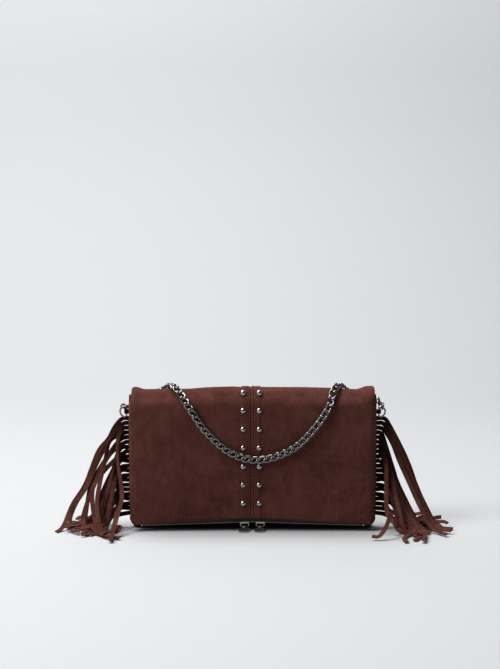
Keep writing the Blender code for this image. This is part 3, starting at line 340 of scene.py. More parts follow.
def shaded_roots(add, place, colour):
    """Painted shade: darker where the strips hang close to the bag's side and behind one another."""
    reach = maths(add, "ABSOLUTE", add("SeparateXYZ", "X", {"Vector": place}))
    near = smooth_range(add, reach, HALF + SHADE_OUT_FROM, HALF + SHADE_OUT_TO, 1.0, 0.0)
    forward = add("SeparateXYZ", "Y", {"Vector": place})
    behind = smooth_range(add, forward, SHADE_BEHIND_FROM, SHADE_BEHIND_TO, 0.0, 1.0)
    shade = maths(add, "MULTIPLY", near, behind)
    kept = maths(add, "MULTIPLY_ADD", shade, -SHADE_ROOTS, 1.0)
    return add("VectorMath", 0, {"operation": "SCALE", 0: colour, "Scale": kept})


def shaded_base(add, place, colour):
    """Painted shade: darker where the inner sheet turns under the bag, in the flap's shade."""
    height = add("SeparateXYZ", "Z", {"Vector": place})
    kept = smooth_range(add, height, SHADE_BASE_FROM, SHADE_BASE_TO, SHADE_BASE_KEPT, 1.0)
    return add("VectorMath", 0, {"operation": "SCALE", 0: colour, "Scale": kept})


def suede_material(name, dark, mid, light, brushing, shade=None):
    """Brushed suede: cloudy nap, blotches, fine fibres and faint brush marks along one axis, with a sheen."""
    add, finish, place = nodes_of(name)
    stretched = add("Mapping", "Vector", {"Vector": place, "Scale": (1.0, 1.0, brushing)})
    total = 0.0
    layers = []
    for source, scale, detail, weight in (
        (place, 17.0, 3.0, 0.36),
        (place, 75.0, 4.0, 0.30),
        (stretched, 300.0, 3.0, 0.16),
        (place, 1700.0, 2.0, 0.22),
    ):
        layer = add("TexNoise", "Fac", {"Vector": source, "Scale": scale, "Detail": detail, "Roughness": 0.6})
        layers.append(layer)
        total = maths(add, "MULTIPLY_ADD", layer, weight, total)
    colour = colours_along(add, total, (0.40, dark), (0.50, mid), (0.62, light))
    soft = bump(add, layers[1], 0.30, 0.0008)
    return finish({
        "Base Color": shade(add, place, colour) if shade else colour,
        "Roughness": 0.95,
        "Specular IOR Level": 0.05,
        "Sheen Weight": 0.16,
        "Sheen Roughness": 0.4,
        "Sheen Tint": (0.75, 0.38, 0.29, 1.0),
        "Normal": bump(add, layers[3], 0.5, 0.00025, Normal=soft),
    })


def metal_material(name, colour, roughness, grime):
    """Dark nickel plate: slightly uneven gloss, and darker where it is rubbed less."""
    add, finish, place = nodes_of(name)
    clouds = add("TexNoise", "Fac", {"Vector": place, "Scale": 420.0, "Detail": 4.0, "Roughness": 0.6})
    ends = {"To Min": roughness * 0.75, "To Max": roughness * 1.35}
    return finish({
        "Base Color": colours_along(add, clouds, (0.35, [value * grime for value in colour]), (0.62, colour)),
        "Roughness": add("MapRange", "Result", {"Value": clouds, **ends}),
        "Metallic": 1.0,
        "Normal": bump(add, clouds, 0.08, 0.0001),
    })


def woven_material(name, dark, light, pitch):
    """Woven tape: two crossing sets of threads."""
    add, finish, place = nodes_of(name)
    wave = {"Vector": place, "Scale": 0.5 / pitch, "Distortion": 1.2, "Detail": 1.0}
    threads = [add("TexWave", "Fac", {**wave, "bands_direction": axis}) for axis in "XZ"]
    weave = maths(add, "MULTIPLY", *threads)
    colour = colours_along(add, weave, (0.0, dark), (1.0, light))
    return finish({"Base Color": colour, "Roughness": 0.88, "Normal": bump(add, weave, 0.6, 0.0002)})


def thread_material(name, dark, light):
    """Twisted sewing thread."""
    add, finish, place = nodes_of(name)
    wave = {"Vector": place, "Scale": 900.0, "Distortion": 0.6, "bands_direction": "DIAGONAL"}
    twist = add("TexWave", "Fac", wave)
    return finish({
        "Base Color": colours_along(add, twist, (0.0, dark), (1.0, light)),
        "Roughness": 0.9,
        "Specular IOR Level": 0.1,
        "Normal": bump(add, twist, 0.5, 0.0001),
    })


def paper_material(name, low, high):
    """Backdrop paper with painted light: lighter towards its top."""
    add, finish, place = nodes_of(name)
    height = add("SeparateXYZ", "Z", {"Vector": place})
    return finish({"Base Color": colours_along(add, height, (0.02, low), (0.6, high)), "Roughness": 0.85})


# Small geometry helpers


def mix(first, second, share):
    return first + (second - first) * share


def smoothstep(low, high, value):
    share = min(max((value - low) / (high - low), 0.0), 1.0)
    return share * share * (3 - 2 * share)


def new_object(name, data):
    made = bpy.data.objects.new(name, data)
    bpy.context.scene.collection.objects.link(made)
    return made


def smooth_mesh(name, shape, material):
    mesh = bpy.data.meshes.new(name)
    shape.to_mesh(mesh)
    shape.free()
    mesh.shade_smooth()
    mesh.materials.append(material)
    return new_object(name, mesh)


def finish_mesh(name, shape, material, angle=40):
    """An object of the shape, shaded smooth up to an angle."""
    bmesh.ops.recalc_face_normals(shape, faces=shape.faces)
    made = smooth_mesh(name, shape, material)
    made.data.set_sharp_from_angle(angle=math.radians(angle))
    return made


def dress(piece, slot, body, *replaced):
    """The piece rides on its body and stands for the solids it replaces; the slot is not used."""
    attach(piece, body)
    if replaced:
        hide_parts(*replaced)
    return piece


def smooth_curve(points, per_span):
    """Points of a smooth curve through the given ones."""
    ends = [points[0] * 2 - points[1]] + list(points) + [points[-1] * 2 - points[-2]]
    curve = []
    for a, b, c, d in zip(ends, ends[1:], ends[2:], ends[3:]):
        for step in range(per_span):
            t = step / per_span
            square = a * 2 - b * 5 + c * 4 - d
            cube = b * 3 - a - c * 3 + d
            curve.append((b * 2 + (c - a) * t + square * t * t + cube * t**3) / 2)
    curve.append(points[-1].copy())
    return curve


def lengths_along(points):
    """How far along the line each of its points lies."""
    total = [0.0]
    for first, second in zip(points, points[1:]):
        total.append(total[-1] + (second - first).length)
    return total


def point_at(points, lengths, distance):
    """The point this far along a line of points, and the direction there."""
    for index in range(1, len(points)):
        if lengths[index] >= distance or index == len(points) - 1:
            step = lengths[index] - lengths[index - 1]
            share = min(max((distance - lengths[index - 1]) / step, 0.0), 1.0)
            heading = (points[index] - points[index - 1]).normalized()
            return mix(points[index - 1], points[index], share), heading


def circle(centre, first, second, radius, count):
    """Points of a circle that starts at its first axis and turns to the second."""
    ring = []
    for corner in range(count):
        turn = math.tau * corner / count
        ring.append(centre + (first * math.cos(turn) + second * math.sin(turn)) * radius)
    return ring


def grow_tube(shape, rings, closed=False):
    """Faces between rings of points, with end caps unless the tube closes on itself."""
    made = [[shape.verts.new(point) for point in ring] for ring in rings]
    pairs = list(zip(made, made[1:]))
    if closed:
        pairs.append((made[-1], made[0]))
    for ring, following in pairs:
        for corner in range(len(ring)):
            after = (corner + 1) % len(ring)
            shape.faces.new((ring[corner], ring[after], following[after], following[corner]))
    if not closed:
        shape.faces.new(made[0])
        shape.faces.new(made[-1])


# Pouch


def hem_z(x):
    """Height of the flap's lower edge: an arch, with rounded lower corners."""
    reach = min(abs(x) / (HALF - EDGE_ROUND), 1.0)
    height = mix(HEM_CENTRE_Z, HEM_SIDE_Z, reach**1.2)
    past = max(abs(x) - (HALF - HEM_CORNER_ROUND), 0.0)
    return height + HEM_CORNER_ROUND - math.sqrt(max(HEM_CORNER_ROUND**2 - past**2, 0.0))


def fullness(x):
    """How far a sheet stands off the side seam at x: 1 in the middle, 0 at the seam, round in between."""
    past = max(abs(x) - (HALF - EDGE_ROUND), 0.0) / EDGE_ROUND
    return math.sqrt(max(1.0 - past * past, 0.0))


def seam_half_gap(z):
    """Half the slot between the panels at the side seam, wider where fringe and ring tab pass through it."""
    if FRINGE_BOTTOM_Z - 0.001 <= z <= RING_Z + RING_TAB_HEIGHT:
        return SLOT_HALF
    return SEW_GAP / 2


def spread(low, high, count):
    return [mix(low, high, step / count) for step in range(count + 1)]


def arc_point(centre_y, radius, turn):
    return Vector((0.0, centre_y + radius * math.cos(turn), FOLD_Z + radius * math.sin(turn)))


def row(y, z, seam_y, seam_z):
    return Vector((0.0, y, z)), Vector((0.0, seam_y, seam_z))


def outer_rows(x):
    """Rows of a back panel at x, from the base's rear edge over the fold to the hem, middle and seam."""
    rows = []
    for z in spread(BASE_ROUND + REAR_LIP + SEW_GAP, FOLD_Z, 56):
        seam_z = max(z, SEAM_LOW_Z + SEW_GAP) + SEAM_SPREAD * (z < SEAM_LOW_Z) * z / SEAM_LOW_Z
        rows.append(row(REAR_Y, z, SEAM_REAR_Y + seam_half_gap(z), seam_z))
    seam_radius = (SEAM_REAR_Y - SEAM_FLAP_Y) / 2 + SEW_GAP / 2
    seam_y = (SEAM_REAR_Y + SEAM_FLAP_Y) / 2
    for turn in spread(0.0, math.pi, 28)[1:]:
        rows.append((arc_point(FOLD_Y, FOLD_RADIUS, turn), arc_point(seam_y, seam_radius, turn)))
    for share in spread(0.0, 1.0, 58)[1:]:
        z = mix(FOLD_Z, hem_z(x), share)
        rows.append(row(FLAP_FACE_Y, z, SEAM_FLAP_Y - SEW_GAP / 2, z))
    return rows


def inner_rows(x):
    """Rows of the front panel at x: base, front of the lower half, inside of the fold, inside of the flap."""
    seam_low = SEAM_LOW_Z - SEW_GAP
    rows = [row(REAR_Y, BASE_ROUND + REAR_LIP, SEAM_REAR_Y + SEW_GAP / 2, SEAM_LOW_Z)]
    for turn in spread(0.0, math.pi / 2, 5):
        y = REAR_Y - BASE_ROUND + BASE_ROUND * math.cos(turn)
        z = BASE_ROUND - BASE_ROUND * math.sin(turn)
        seam_y = SEAM_REAR_Y + mix(SEW_GAP / 2, 0.0, turn / math.pi)
        rows.append(row(y, z, seam_y, seam_low - SEAM_SPREAD * turn))
    for turn in spread(0.0, math.pi / 2, 5):
        y = LOWER_FRONT_Y + BASE_ROUND - BASE_ROUND * math.sin(turn)
        z = BASE_ROUND - BASE_ROUND * math.cos(turn)
        seam_y = SEAM_REAR_Y - mix(0.0, SEW_GAP / 2, turn / 1.6)
        rows.append(row(y, z, seam_y, seam_low + SEAM_SPREAD * turn))
    for z in spread(FRONT_START_Z, FOLD_Z, 50):
        rows.append(row(LOWER_FRONT_Y, z, SEAM_REAR_Y - seam_half_gap(z), z))
    radius = (LOWER_FRONT_Y - FLAP_INNER_Y) / 2
    seam_radius = (SEAM_REAR_Y - SEAM_FLAP_Y) / 2 - SEW_GAP / 2
    seam_y = (SEAM_REAR_Y + SEAM_FLAP_Y) / 2
    centre_y = (LOWER_FRONT_Y + FLAP_INNER_Y) / 2
    for turn in spread(0.0, math.pi, 12)[1:]:
        rows.append((arc_point(centre_y, radius, turn), arc_point(seam_y, seam_radius, turn)))
    for share in spread(0.0, 1.0, 50)[1:]:
        z = mix(FOLD_Z, hem_z(x), share)
        rows.append(row(FLAP_INNER_Y, z, SEAM_FLAP_Y + SEW_GAP / 2, z))
    return rows


def columns_between(low, high, seam=None):
    """Column places from low to high, closer together at the side seam and beside the centre seam."""
    turns = [math.radians(degrees) for degrees in (12, 24, 36, 47, 57, 66, 74, 80, 85, 90)]
    bend = HALF - EDGE_ROUND
    places = []
    if low < -bend:
        places += [-(bend + EDGE_ROUND * math.sin(turn)) for turn in reversed(turns)]
    start, stop = max(low, -bend), min(high, bend)
    if seam is None:
        places += spread(start, stop, math.ceil((stop - start) / COLUMN_STEP))
    elif seam <= start:
        places += spread(start, start + FINE_REACH, math.ceil(FINE_REACH / FINE_STEP))[:-1]
        places += spread(start + FINE_REACH, stop, math.ceil((stop - start - FINE_REACH) / COLUMN_STEP))
    else:
        places += spread(start, stop - FINE_REACH, math.ceil((stop - start - FINE_REACH) / COLUMN_STEP))[:-1]
        places += spread(stop - FINE_REACH, stop, math.ceil(FINE_REACH / FINE_STEP))
    if high > bend:
        places += [bend + EDGE_ROUND * math.sin(turn) for turn in turns]
    return places


def top_relief(x):
    """The fold's top line: a little hollow between the centre and the corners, the right one fuller."""
    reach = abs(x)
    hollow = -TOP_HOLLOW - TOP_HOLLOW_MORE * smoothstep(0.02, 0.106, reach)
    if x > 0:
        puff = TOP_PUFF_RIGHT * smoothstep(0.113, 0.125, reach)
    else:
        puff = TOP_PUFF_LEFT * smoothstep(0.118, 0.127, reach)
    corner = puff + TOP_CORNER_PUFF * smoothstep(HALF - 0.008, HALF - 0.003, reach)
    return hollow + corner * (1 - smoothstep(HALF - 0.0025, HALF, reach))


def side_fade(x):
    return 1 - smoothstep(HALF - SIDE_FADE_FROM, HALF - SIDE_FADE_TO, abs(x))


def bell(distance, half):
    return math.exp(-((distance / half) ** 2))


def outer_relief(point):
    """How far the outer suede stands off its plain shape here: centre band, seam, corners, soft waves."""
    beside = point.x - SEAM_X
    band = BAND_LIFT * (1 - smoothstep(BAND_HALF - 0.0012, BAND_HALF + 0.0006, abs(beside)))
    valley = -VALLEY_DEPTH * bell(beside + 0.0002, VALLEY_HALF)
    ridge = RIDGE_LIFT * bell(beside - RIDGE_X, VALLEY_HALF)
    rows = -STITCH_GROOVE * bell(abs(beside) - STITCH_ROW_X, STITCH_GROOVE_HALF)
    x = abs(point.x)
    top = smoothstep(FOLD_Z - 0.002, FOLD_Z + 0.014, point.z) * top_relief(point.x)
    waves = WAVE_HEIGHT * noise.noise(Vector((point.x * 14, point.y * 10, point.z * 9)))
    waves += RIPPLE_HEIGHT * noise.noise(Vector((point.x * 50 + 9, point.y * 40, point.z * 34)))
    side_row = -SIDE_GROOVE * bell(HALF - SIDE_STITCH_INSIDE - x, GROOVE_HALF) * (point.y < FOLD_Y)
    off_band = smoothstep(BAND_HALF, BAND_HALF + 0.012, abs(beside))
    return band + valley + ridge + rows + top + side_row + waves * side_fade(x) * off_band


def hem_relief(point, turned):
    """The folded hem: a shallow groove under its stitches and a soft roll below them."""
    above = point.z - hem_z(point.x)
    if above > 0.02 or point.z > 0.06 or not turned:
        return 0.0
    groove = -HEM_GROOVE * bell(above - HEM_STITCH_ABOVE, GROOVE_HALF)
    roll = HEM_ROLL * bell(above - HEM_ROLL_ABOVE, HEM_ROLL_HALF)
    edge = -HEM_EDGE_DROP * (1 - smoothstep(0.0, HEM_EDGE_HEIGHT, above))
    return groove + roll + edge


def surface_line(rows_at, x):
    """The points of a sheet's rows at x."""
    share = fullness(x)
    line = []
    for middle, seam in rows_at(x):
        point = mix(seam, middle, share)
        point.x = x
        line.append(point)
    return line


def make_sheet(name, columns, rows_at, relief, outward, material):
    """One suede sheet: a grid through its rows and columns, with its relief, thickened to the inside."""
    shape = bmesh.new()
    grid = [[shape.verts.new(point) for point in surface_line(rows_at, x)] for x in columns]
    for left, right in zip(grid, grid[1:]):
        for low in range(len(left) - 1):
            shape.faces.new((left[low], left[low + 1], right[low + 1], right[low]))
    shape.normal_update()
    probe = max(shape.faces, key=lambda face: face.calc_center_median().dot(outward))
    if probe.normal.dot(outward) < 0:
        bmesh.ops.reverse_faces(shape, faces=shape.faces)
        shape.normal_update()
    moves = [(point, point.normal * relief(point.co)) for point in shape.verts]
    for point, move in moves:
        point.co += move
    made = smooth_mesh(name, shape, material)
    solid = made.modifiers.new("thickness", "SOLIDIFY")
    solid.thickness = SUEDE
    solid.offset = -1.0
    solid.use_even_offset = False
    return made


def back_relief(point):
    turned = point.y < FOLD_Y
    return outer_relief(point) + hem_relief(point, turned)


def front_relief(point):
    """The front panel: soft waves only, flat on its base."""
    waves = INNER_WAVE_HEIGHT * noise.noise(Vector((point.x * 16 + 4, point.y * 10, point.z * 11)))
    off_floor = smoothstep(0.002, 0.012, point.z)
    turned = point.y < (LOWER_FRONT_Y + FLAP_INNER_Y) / 2
    return waves * side_fade(point.x) * off_floor + hem_relief(point, turned)


def make_pouch():
    rear = Vector((0.0, 1.0, 0.0))
    down = Vector((0.0, 0.0, -1.0))
    right_columns = columns_between(SEAM_X, HALF, SEAM_X)
    left_columns = columns_between(-HALF, SEAM_X, SEAM_X)
    right = make_sheet("back_suede_right", right_columns, outer_rows, back_relief, rear, SUEDE_MATERIAL)
    left = make_sheet("back_suede_left", left_columns, outer_rows, back_relief, rear, SUEDE_MATERIAL)
    front_columns = columns_between(-HALF, HALF)
    front = make_sheet("front_suede", front_columns, inner_rows, front_relief, down, INNER_MATERIAL)
    dress(right, "suede", "bag", "back_panel_right")
    dress(left, "suede", "bag", "back_panel_left")
    dress(front, "suede", "bag", "front_panel")
    return left, right, front


# Stitching


def surface_of(piece):
    shape = bmesh.new()
    shape.from_mesh(piece.data)
    tree = BVHTree.FromBMesh(shape)
    shape.free()
    return tree


def add_stitch(shape, start, stop, normal):
    """One stitch: a short bow of thread with its ends in the suede."""
    along = (stop - start).normalized()
    across = normal.cross(along).normalized()
    rings = []
    for share in (0.0, 0.14, 0.5, 0.86, 1.0):
        height = STITCH_RADIUS * (1.3 * math.sin(math.pi * share) - 0.75)
        centre = mix(start, stop, share) + normal * height
        size = STITCH_RADIUS * (0.8 + 0.3 * math.sin(math.pi * share))
        rings.append(circle(centre, across, normal, size, 6))
    grow_tube(shape, rings)


def add_hole(shape, centre, normal):
    """A needle hole: a dark dimple where the thread goes into the suede, its near-black colour painted shade.
    """
    across = normal.orthogonal().normalized()
    edge = circle(centre, across, normal.cross(across), HOLE_RADIUS, 6)
    ring = [shape.verts.new(point + normal * HOLE_EDGE_LIFT) for point in edge]
    top = shape.verts.new(centre + normal * HOLE_LIFT)
    for corner in range(6):
        shape.faces.new((ring[corner], ring[(corner + 1) % 6], top))


def stitch_line(shape, holes, points, tree, pitch, share=0.66):
    """Stitches of one pitch along a line of points that lies near the suede."""
    lengths = lengths_along(points)
    count = int(lengths[-1] / pitch)
    for index in range(count):
        first, _ = point_at(points, lengths, (index + 0.5 - share / 2) * pitch)
        last, _ = point_at(points, lengths, (index + 0.5 + share / 2) * pitch)
        start, normal, _, _ = tree.find_nearest(first)
        stop, other, _, _ = tree.find_nearest(last)
        add_stitch(shape, start, stop, (normal + other).normalized())
        between, facing, _, _ = tree.find_nearest(point_at(points, lengths, index * pitch)[0])
        add_hole(holes, between, facing)


def make_stitching(left, right, front):
    trees = {-1: surface_of(left), 1: surface_of(right), 0: surface_of(front)}
    shape = bmesh.new()
    holes = bmesh.new()
    for side in (-1, 1):
        line = surface_line(outer_rows, SEAM_X + side * STITCH_ROW_X)
        stitch_line(shape, holes, line, trees[side], CENTRE_STITCH_PITCH)
    dress(finish_mesh("centre_stitches", shape, THREAD), "suede", "bag")
    shape = bmesh.new()
    for side in (-1, 1):
        line = []
        for x in spread(0.0012, HALF - 0.0032, 90):
            line.append(Vector((side * x, FLAP_FACE_Y, hem_z(x) + HEM_STITCH_ABOVE)))
        stitch_line(shape, holes, line, trees[side], HEM_STITCH_PITCH)
        x = side * (HALF - SIDE_STITCH_INSIDE)
        line = []
        for z in spread(hem_z(x) + HEM_STITCH_ABOVE + HEM_STITCH_PITCH, FOLD_Z, 60):
            line.append(mix(Vector((x, SEAM_FLAP_Y, z)), Vector((x, FLAP_FACE_Y, z)), fullness(x)))
        stitch_line(shape, holes, line, trees[side], HEM_STITCH_PITCH)
    inner = []
    for x in spread(-HALF + 0.004, HALF - 0.004, 160):
        inner.append(Vector((x, FLAP_INNER_Y, hem_z(x) + HEM_STITCH_ABOVE)))
    stitch_line(shape, holes, inner, trees[0], HEM_STITCH_PITCH)
    dress(finish_mesh("hem_stitches", shape, THREAD), "suede", "bag")
    # The needle holes' near-black is painted shade
    dress(finish_mesh("needle_holes", holes, HOLE_PAINTED_SHADE), "suede", "bag")


# Fringe


def strip_numbers(index, side):
    """Three numbers from 0 to 1 that differ from strip to strip, the same on each run."""
    base = index * 0.618034 + (0.13 if side < 0 else 0.57)
    return base % 1.0, (base * 2.71 + 0.31) % 1.0, (base * 5.13 + 0.77) % 1.0


def strip_azimuth(index, side):
    """Which way a strip lies: 0 is straight out from the side seam and 90 degrees is straight forward."""
    high = index / (STRIP_COUNT - 1)
    first = strip_numbers(index, side)[0]
    return math.radians(mix(mix(-45, 75, first), mix(-5, 45, first), high))


def fallen_route(index, side, lay):
    """The route of a strip that falls straight down to the floor and crumples onto the pile."""
    level = FRINGE_BOTTOM_Z + (index + 0.5) * STRIP_PITCH
    high = index / (STRIP_COUNT - 1)
    first, second, third = strip_numbers(index, side)
    azimuth = strip_azimuth(index, side)
    reach = STRIP_LENGTH * (mix(0.23, 0.32, high) + 0.07 * (second - 0.5))
    out = Vector((math.cos(azimuth), -math.sin(azimuth), 0.0))
    start = Vector((0.0, 0.0, level))
    bunched = STRIP_PITCH * mix(0.2, 0.9, first) * (index % 2)
    near = Vector((0.07 * STRIP_LENGTH, 0.0, level - STRIP_PITCH * mix(0.4, 1.1, high) + bunched / 2))
    fallen = max(mix(0.45, 0.60, high) * level + bunched, lay + STRIP_THICKNESS)
    half_way = out * reach * mix(0.62, 0.50, high) + Vector((0.7 * STRIP_PITCH, 0.0, fallen))
    landing = out * reach + Vector((0.0, 0.0, lay))
    route = [start, near, half_way, landing]
    left_over = STRIP_LENGTH - lengths_along(smooth_curve(route, 8))[-1]
    swing = math.radians(mix(35, 75, third)) * smoothstep(0.0, 0.3, left_over / STRIP_LENGTH)
    swing *= 1 if index % 2 else -1
    hump = STRIP_WIDTH * mix(1.5, 0.7, high) * mix(0.5, 1.25, second)
    waves = max(left_over / (13 * STRIP_WIDTH), 1.0)
    place = landing.copy()
    for piece in range(1, PILE_STEPS + 1):
        share = piece / PILE_STEPS
        heading = azimuth + swing * math.sin(math.tau * share * 1.1)
        rise = hump * math.sin(math.pi * share * waves) ** 2 * (1 - 0.75 * share)
        step = left_over / PILE_STEPS * mix(0.38, 0.50, high)
        place = place + Vector((math.cos(heading), -math.sin(heading), 0.0)) * step
        route.append(Vector((max(place.x, STRIP_WIDTH * 1.3), place.y, lay + rise)))
    return route


def strip_route(index, side):
    """A strip's middle line: out of the seam, down to the floor and onto the pile."""
    level = FRINGE_BOTTOM_Z + (index + 0.5) * STRIP_PITCH
    high = index / (STRIP_COUNT - 1)
    lay = FLOOR_LIFT + STRIP_THICKNESS * 1.3 * (index % 5) * (1 - 0.4 * high)
    if (side, index) in LAID_STRIPS:
        route = [Vector((0.0, 0.0, level)), Vector((1.5 * HEADER_OUTSIDE, 0.0, level))]
        for out, forward, up in LAID_STRIPS[(side, index)]:
            route.append(Vector((out * STRIP_LENGTH, -forward * STRIP_LENGTH, max(up * level, lay))))
    else:
        route = fallen_route(index, side, lay)
    origin = Vector((HALF + HEADER_OUTSIDE, SEAM_REAR_Y, 0.0))
    points = []
    for point in smooth_curve(route, 6):
        placed = point + origin
        points.append(Vector((side * placed.x, placed.y, placed.z)))
    return points


def ribbon_rings(index, side):
    """The strip's sections: a flat ribbon that twists a little, with soft edges, cut square at its end."""
    route = strip_route(index, side)
    lengths = lengths_along(route)
    _, second, third = strip_numbers(index, side)
    upright = Vector((0.0, -1.0, 0.0))
    flat = Vector((0.0, -0.75, 1.0))
    total = min(lengths[-1], STRIP_LENGTH)
    rings = []
    for step in range(RIBBON_STEPS + 1):
        distance = total * step / RIBBON_STEPS
        point, _ = point_at(route, lengths, distance)
        before, _ = point_at(route, lengths, max(distance - RIBBON_LOOK, 0.0))
        after, _ = point_at(route, lengths, min(distance + RIBBON_LOOK, total))
        heading = (after - before).normalized()
        on_pile = 1 - smoothstep(0.004, 0.020, point.z) if distance > 0.02 else 0.0
        normal = mix(upright, flat, on_pile)
        normal = (normal - heading * normal.dot(heading)).normalized()
        twist = 1.1 * noise.noise(Vector((distance * 16, index * 7.3, side * 2.0)))
        twist = (twist + 0.35 * (third - 0.5)) * smoothstep(0.002, 0.02, distance) * mix(1.0, 0.45, on_pile)
        normal = Matrix.Rotation(twist, 3, heading) @ normal
        across = normal.cross(heading)
        half = STRIP_WIDTH / 2 * (1 + 0.07 * noise.noise(Vector((distance * 90, index * 3.1, side))))
        thick = STRIP_THICKNESS / 2
        curl = 0.0005 * (second - 0.35) * smoothstep(0.01, 0.05, distance)
        ring = []
        for wide, deep in RIBBON_SECTION:
            ring.append(point + across * half * wide + normal * (thick * deep + curl * (wide * wide * 2 - 1)))
        lowest = min(corner.z for corner in ring)
        lift = Vector((0.0, 0.0, max(RIBBON_CLEAR - lowest, 0.0)))
        rings.append([corner + lift for corner in ring])
    return rings


def make_fringe(name, side, replaced):
    shape = bmesh.new()
    for index in range(STRIP_COUNT):
        grow_tube(shape, ribbon_rings(index, side))
    outer = side * (HALF + HEADER_OUTSIDE + 0.0002)
    inner = side * (HALF - HEADER_INSIDE)
    half = STRIP_THICKNESS / 2
    rings = []
    for z in spread(FRINGE_BOTTOM_Z, FRINGE_TOP_Z, STRIP_COUNT * 2):
        corners = ((inner, -half), (inner, half), (outer, half), (outer, -half))
        rings.append([Vector((x, SEAM_REAR_Y + y, z)) for x, y in corners])
    grow_tube(shape, rings)
    piece = dress(finish_mesh(name, shape, FRINGE_MATERIAL, angle=50), "fringe_suede", "bag", replaced)


# Studs


def make_studs():
    """Smooth domes with a thin rim, on the suede band."""
    shape = bmesh.new()
    across, up = Vector((1.0, 0.0, 0.0)), Vector((0.0, 1.0, 0.0))
    rings = []
    for radius, height in STUD_PROFILE:
        centre = Vector((0.0, 0.0, height * STUD_HEIGHT))
        rings.append(circle(centre, across, up, radius * STUD_RADIUS, STUD_SIDES))
    grow_tube(shape, rings)
    mesh_holder = finish_mesh("stud_shape", shape, METAL)
    mesh = mesh_holder.data
    bpy.data.objects.remove(mesh_holder)
    for row in range(STUD_ROWS):
        along = LOWEST_STUD_Z + row * STUD_PITCH
        past = max(along - FOLD_Z, 0.0)
        turn = math.pi - past / FOLD_RADIUS
        facing = Vector((0.0, math.cos(turn), math.sin(turn)))
        foot = Vector((0.0, FOLD_Y, min(along, FOLD_Z))) + facing * (FOLD_RADIUS + SEW_GAP)
        for word, side in SIDES:
            stud = new_object(f"dome_{word}_{row + 1}", mesh.copy())
            turned = Vector((0.0, 0.0, 1.0)).rotation_difference(facing).to_matrix().to_4x4()
            place = Matrix.Translation(foot + Vector((SEAM_X + side * STUD_OFFSET_X, 0.0, 0.0)))
            stud.data.transform(place @ turned)
            dress(stud, "dark_metal", "bag", f"stud_{word}_{row + 1}")


# Zip


def zip_z(x):
    """Height of the zip's middle line: highest at the centre, straight down to each side."""
    return ZIP_CENTRE_Z - ZIP_SLOPE * abs(x)


def make_teeth():
    """Moulded metal teeth: the two rows stand half a pitch apart and reach in between each other."""
    outer = TEETH_ROW_GAP / 2 + TEETH_ROW_WIDTH
    sections = ((outer, 0.0010, 0.85), (0.0011, 0.0011, 1.0), (0.0004, 0.0009, 1.0), (-0.0005, 0.0011, 0.72))
    corners = ((-1, -0.7), (-0.7, -1), (0.7, -1), (1, -0.7), (1, 0.7), (0.7, 1), (-0.7, 1), (-1, 0.7))
    for word, side in (("front", -1), ("rear", 1)):
        shape = bmesh.new()
        shift = 0.0 if side < 0 else TOOTH_PITCH / 2
        for index in range(int(ZIP_LENGTH / TOOTH_PITCH)):
            x = -ZIP_LENGTH / 2 + (index + 0.4) * TOOTH_PITCH + shift
            if abs(x) > ZIP_LENGTH / 2 - TOOTH_PITCH / 3:
                continue
            rings = []
            for reach, long, high in sections:
                y = SEAM_FLAP_Y + side * reach
                tall = TEETH_HEIGHT / 2 * high
                rings.append([Vector((x + a * long / 2, y, zip_z(x) + b * tall)) for a, b in corners])
            grow_tube(shape, rings)
        piece = finish_mesh(f"teeth_{word}", shape, TEETH_METAL, angle=35)
        dress(piece, "dark_metal", "bag", f"zip_teeth_{word}")


# Rings and chain


def make_rings():
    """D-rings: a straight side in the suede loop and a bow outwards."""
    depth = Vector((0.0, 1.0, 0.0))
    for word, side in SIDES:
        place = Vector((side * RING_X, SEAM_REAR_Y, RING_Z))
        points = [(0.0, mix(-0.8, 0.8, step / 6) * RING_RADIUS) for step in range(7)]
        for step in range(29):
            turn = math.radians(mix(80, -80, step / 28))
            points.append((RING_BOW + RING_RADIUS * math.cos(turn), RING_RADIUS * math.sin(turn)))
        middle = [place + Vector((side * out, 0.0, up)) for out, up in points]
        shape = bmesh.new()
        rings = []
        for index, point in enumerate(middle):
            heading = (middle[(index + 1) % len(middle)] - middle[index - 1]).normalized()
            rings.append(circle(point, depth.cross(heading), depth, RING_WIRE_RADIUS, 12))
        grow_tube(shape, rings, closed=True)
        dress(finish_mesh(f"d_ring_{word}", shape, METAL), "dark_metal", "bag", f"ring_{word}")


def make_ring_tabs():
    """Suede loops: a strip that comes out of the seam, round the ring's straight side and back."""
    bore = RING_WIRE_RADIUS + LOOP_PLAY
    half = RING_TAB_HEIGHT / 2
    for word, side in SIDES:
        shape = bmesh.new()
        path = []
        for x in spread(RING_STAND_OFF + HEADER_INSIDE, LOOP_NECK, 8):
            path.append(Vector((-x, mix(0.0, LOOP_NECK_HALF, smoothstep(RING_STAND_OFF, 0.0022, x)), 0.0)))
        radius = bore + RING_TAB_WALL / 2
        for degrees in range(150, -151, -20):
            turn = math.radians(degrees)
            path.append(Vector((radius * math.cos(turn), radius * math.sin(turn), 0.0)))
        for x in spread(LOOP_NECK, RING_STAND_OFF + HEADER_INSIDE, 8):
            path.append(Vector((-x, -LOOP_NECK_HALF, 0.0)))
        rings = []
        for index, point in enumerate(path):
            heading = (path[min(index + 1, len(path) - 1)] - path[max(index - 1, 0)]).normalized()
            normal = Vector((0.0, 0.0, 1.0)).cross(heading)
            thick = RING_TAB_WALL / 2 if point.x > -0.0024 else 0.0004
            ring = []
            for deep, up in ((-1, -1), (-1, 1), (1, 1), (1, -1)):
                local = point + normal * thick * deep + Vector((0.0, 0.0, half * up))
                ring.append(Vector((side * (RING_X + local.x), SEAM_REAR_Y + local.y, RING_Z + local.z)))
            rings.append(ring)
        grow_tube(shape, rings)
        # The loops take the strips' suede, with its painted shade near the seam
        piece = finish_mesh(f"ring_loop_{word}", shape, FRINGE_MATERIAL, angle=50)
        dress(piece, "fringe_suede", "bag", f"ring_tab_{word}")


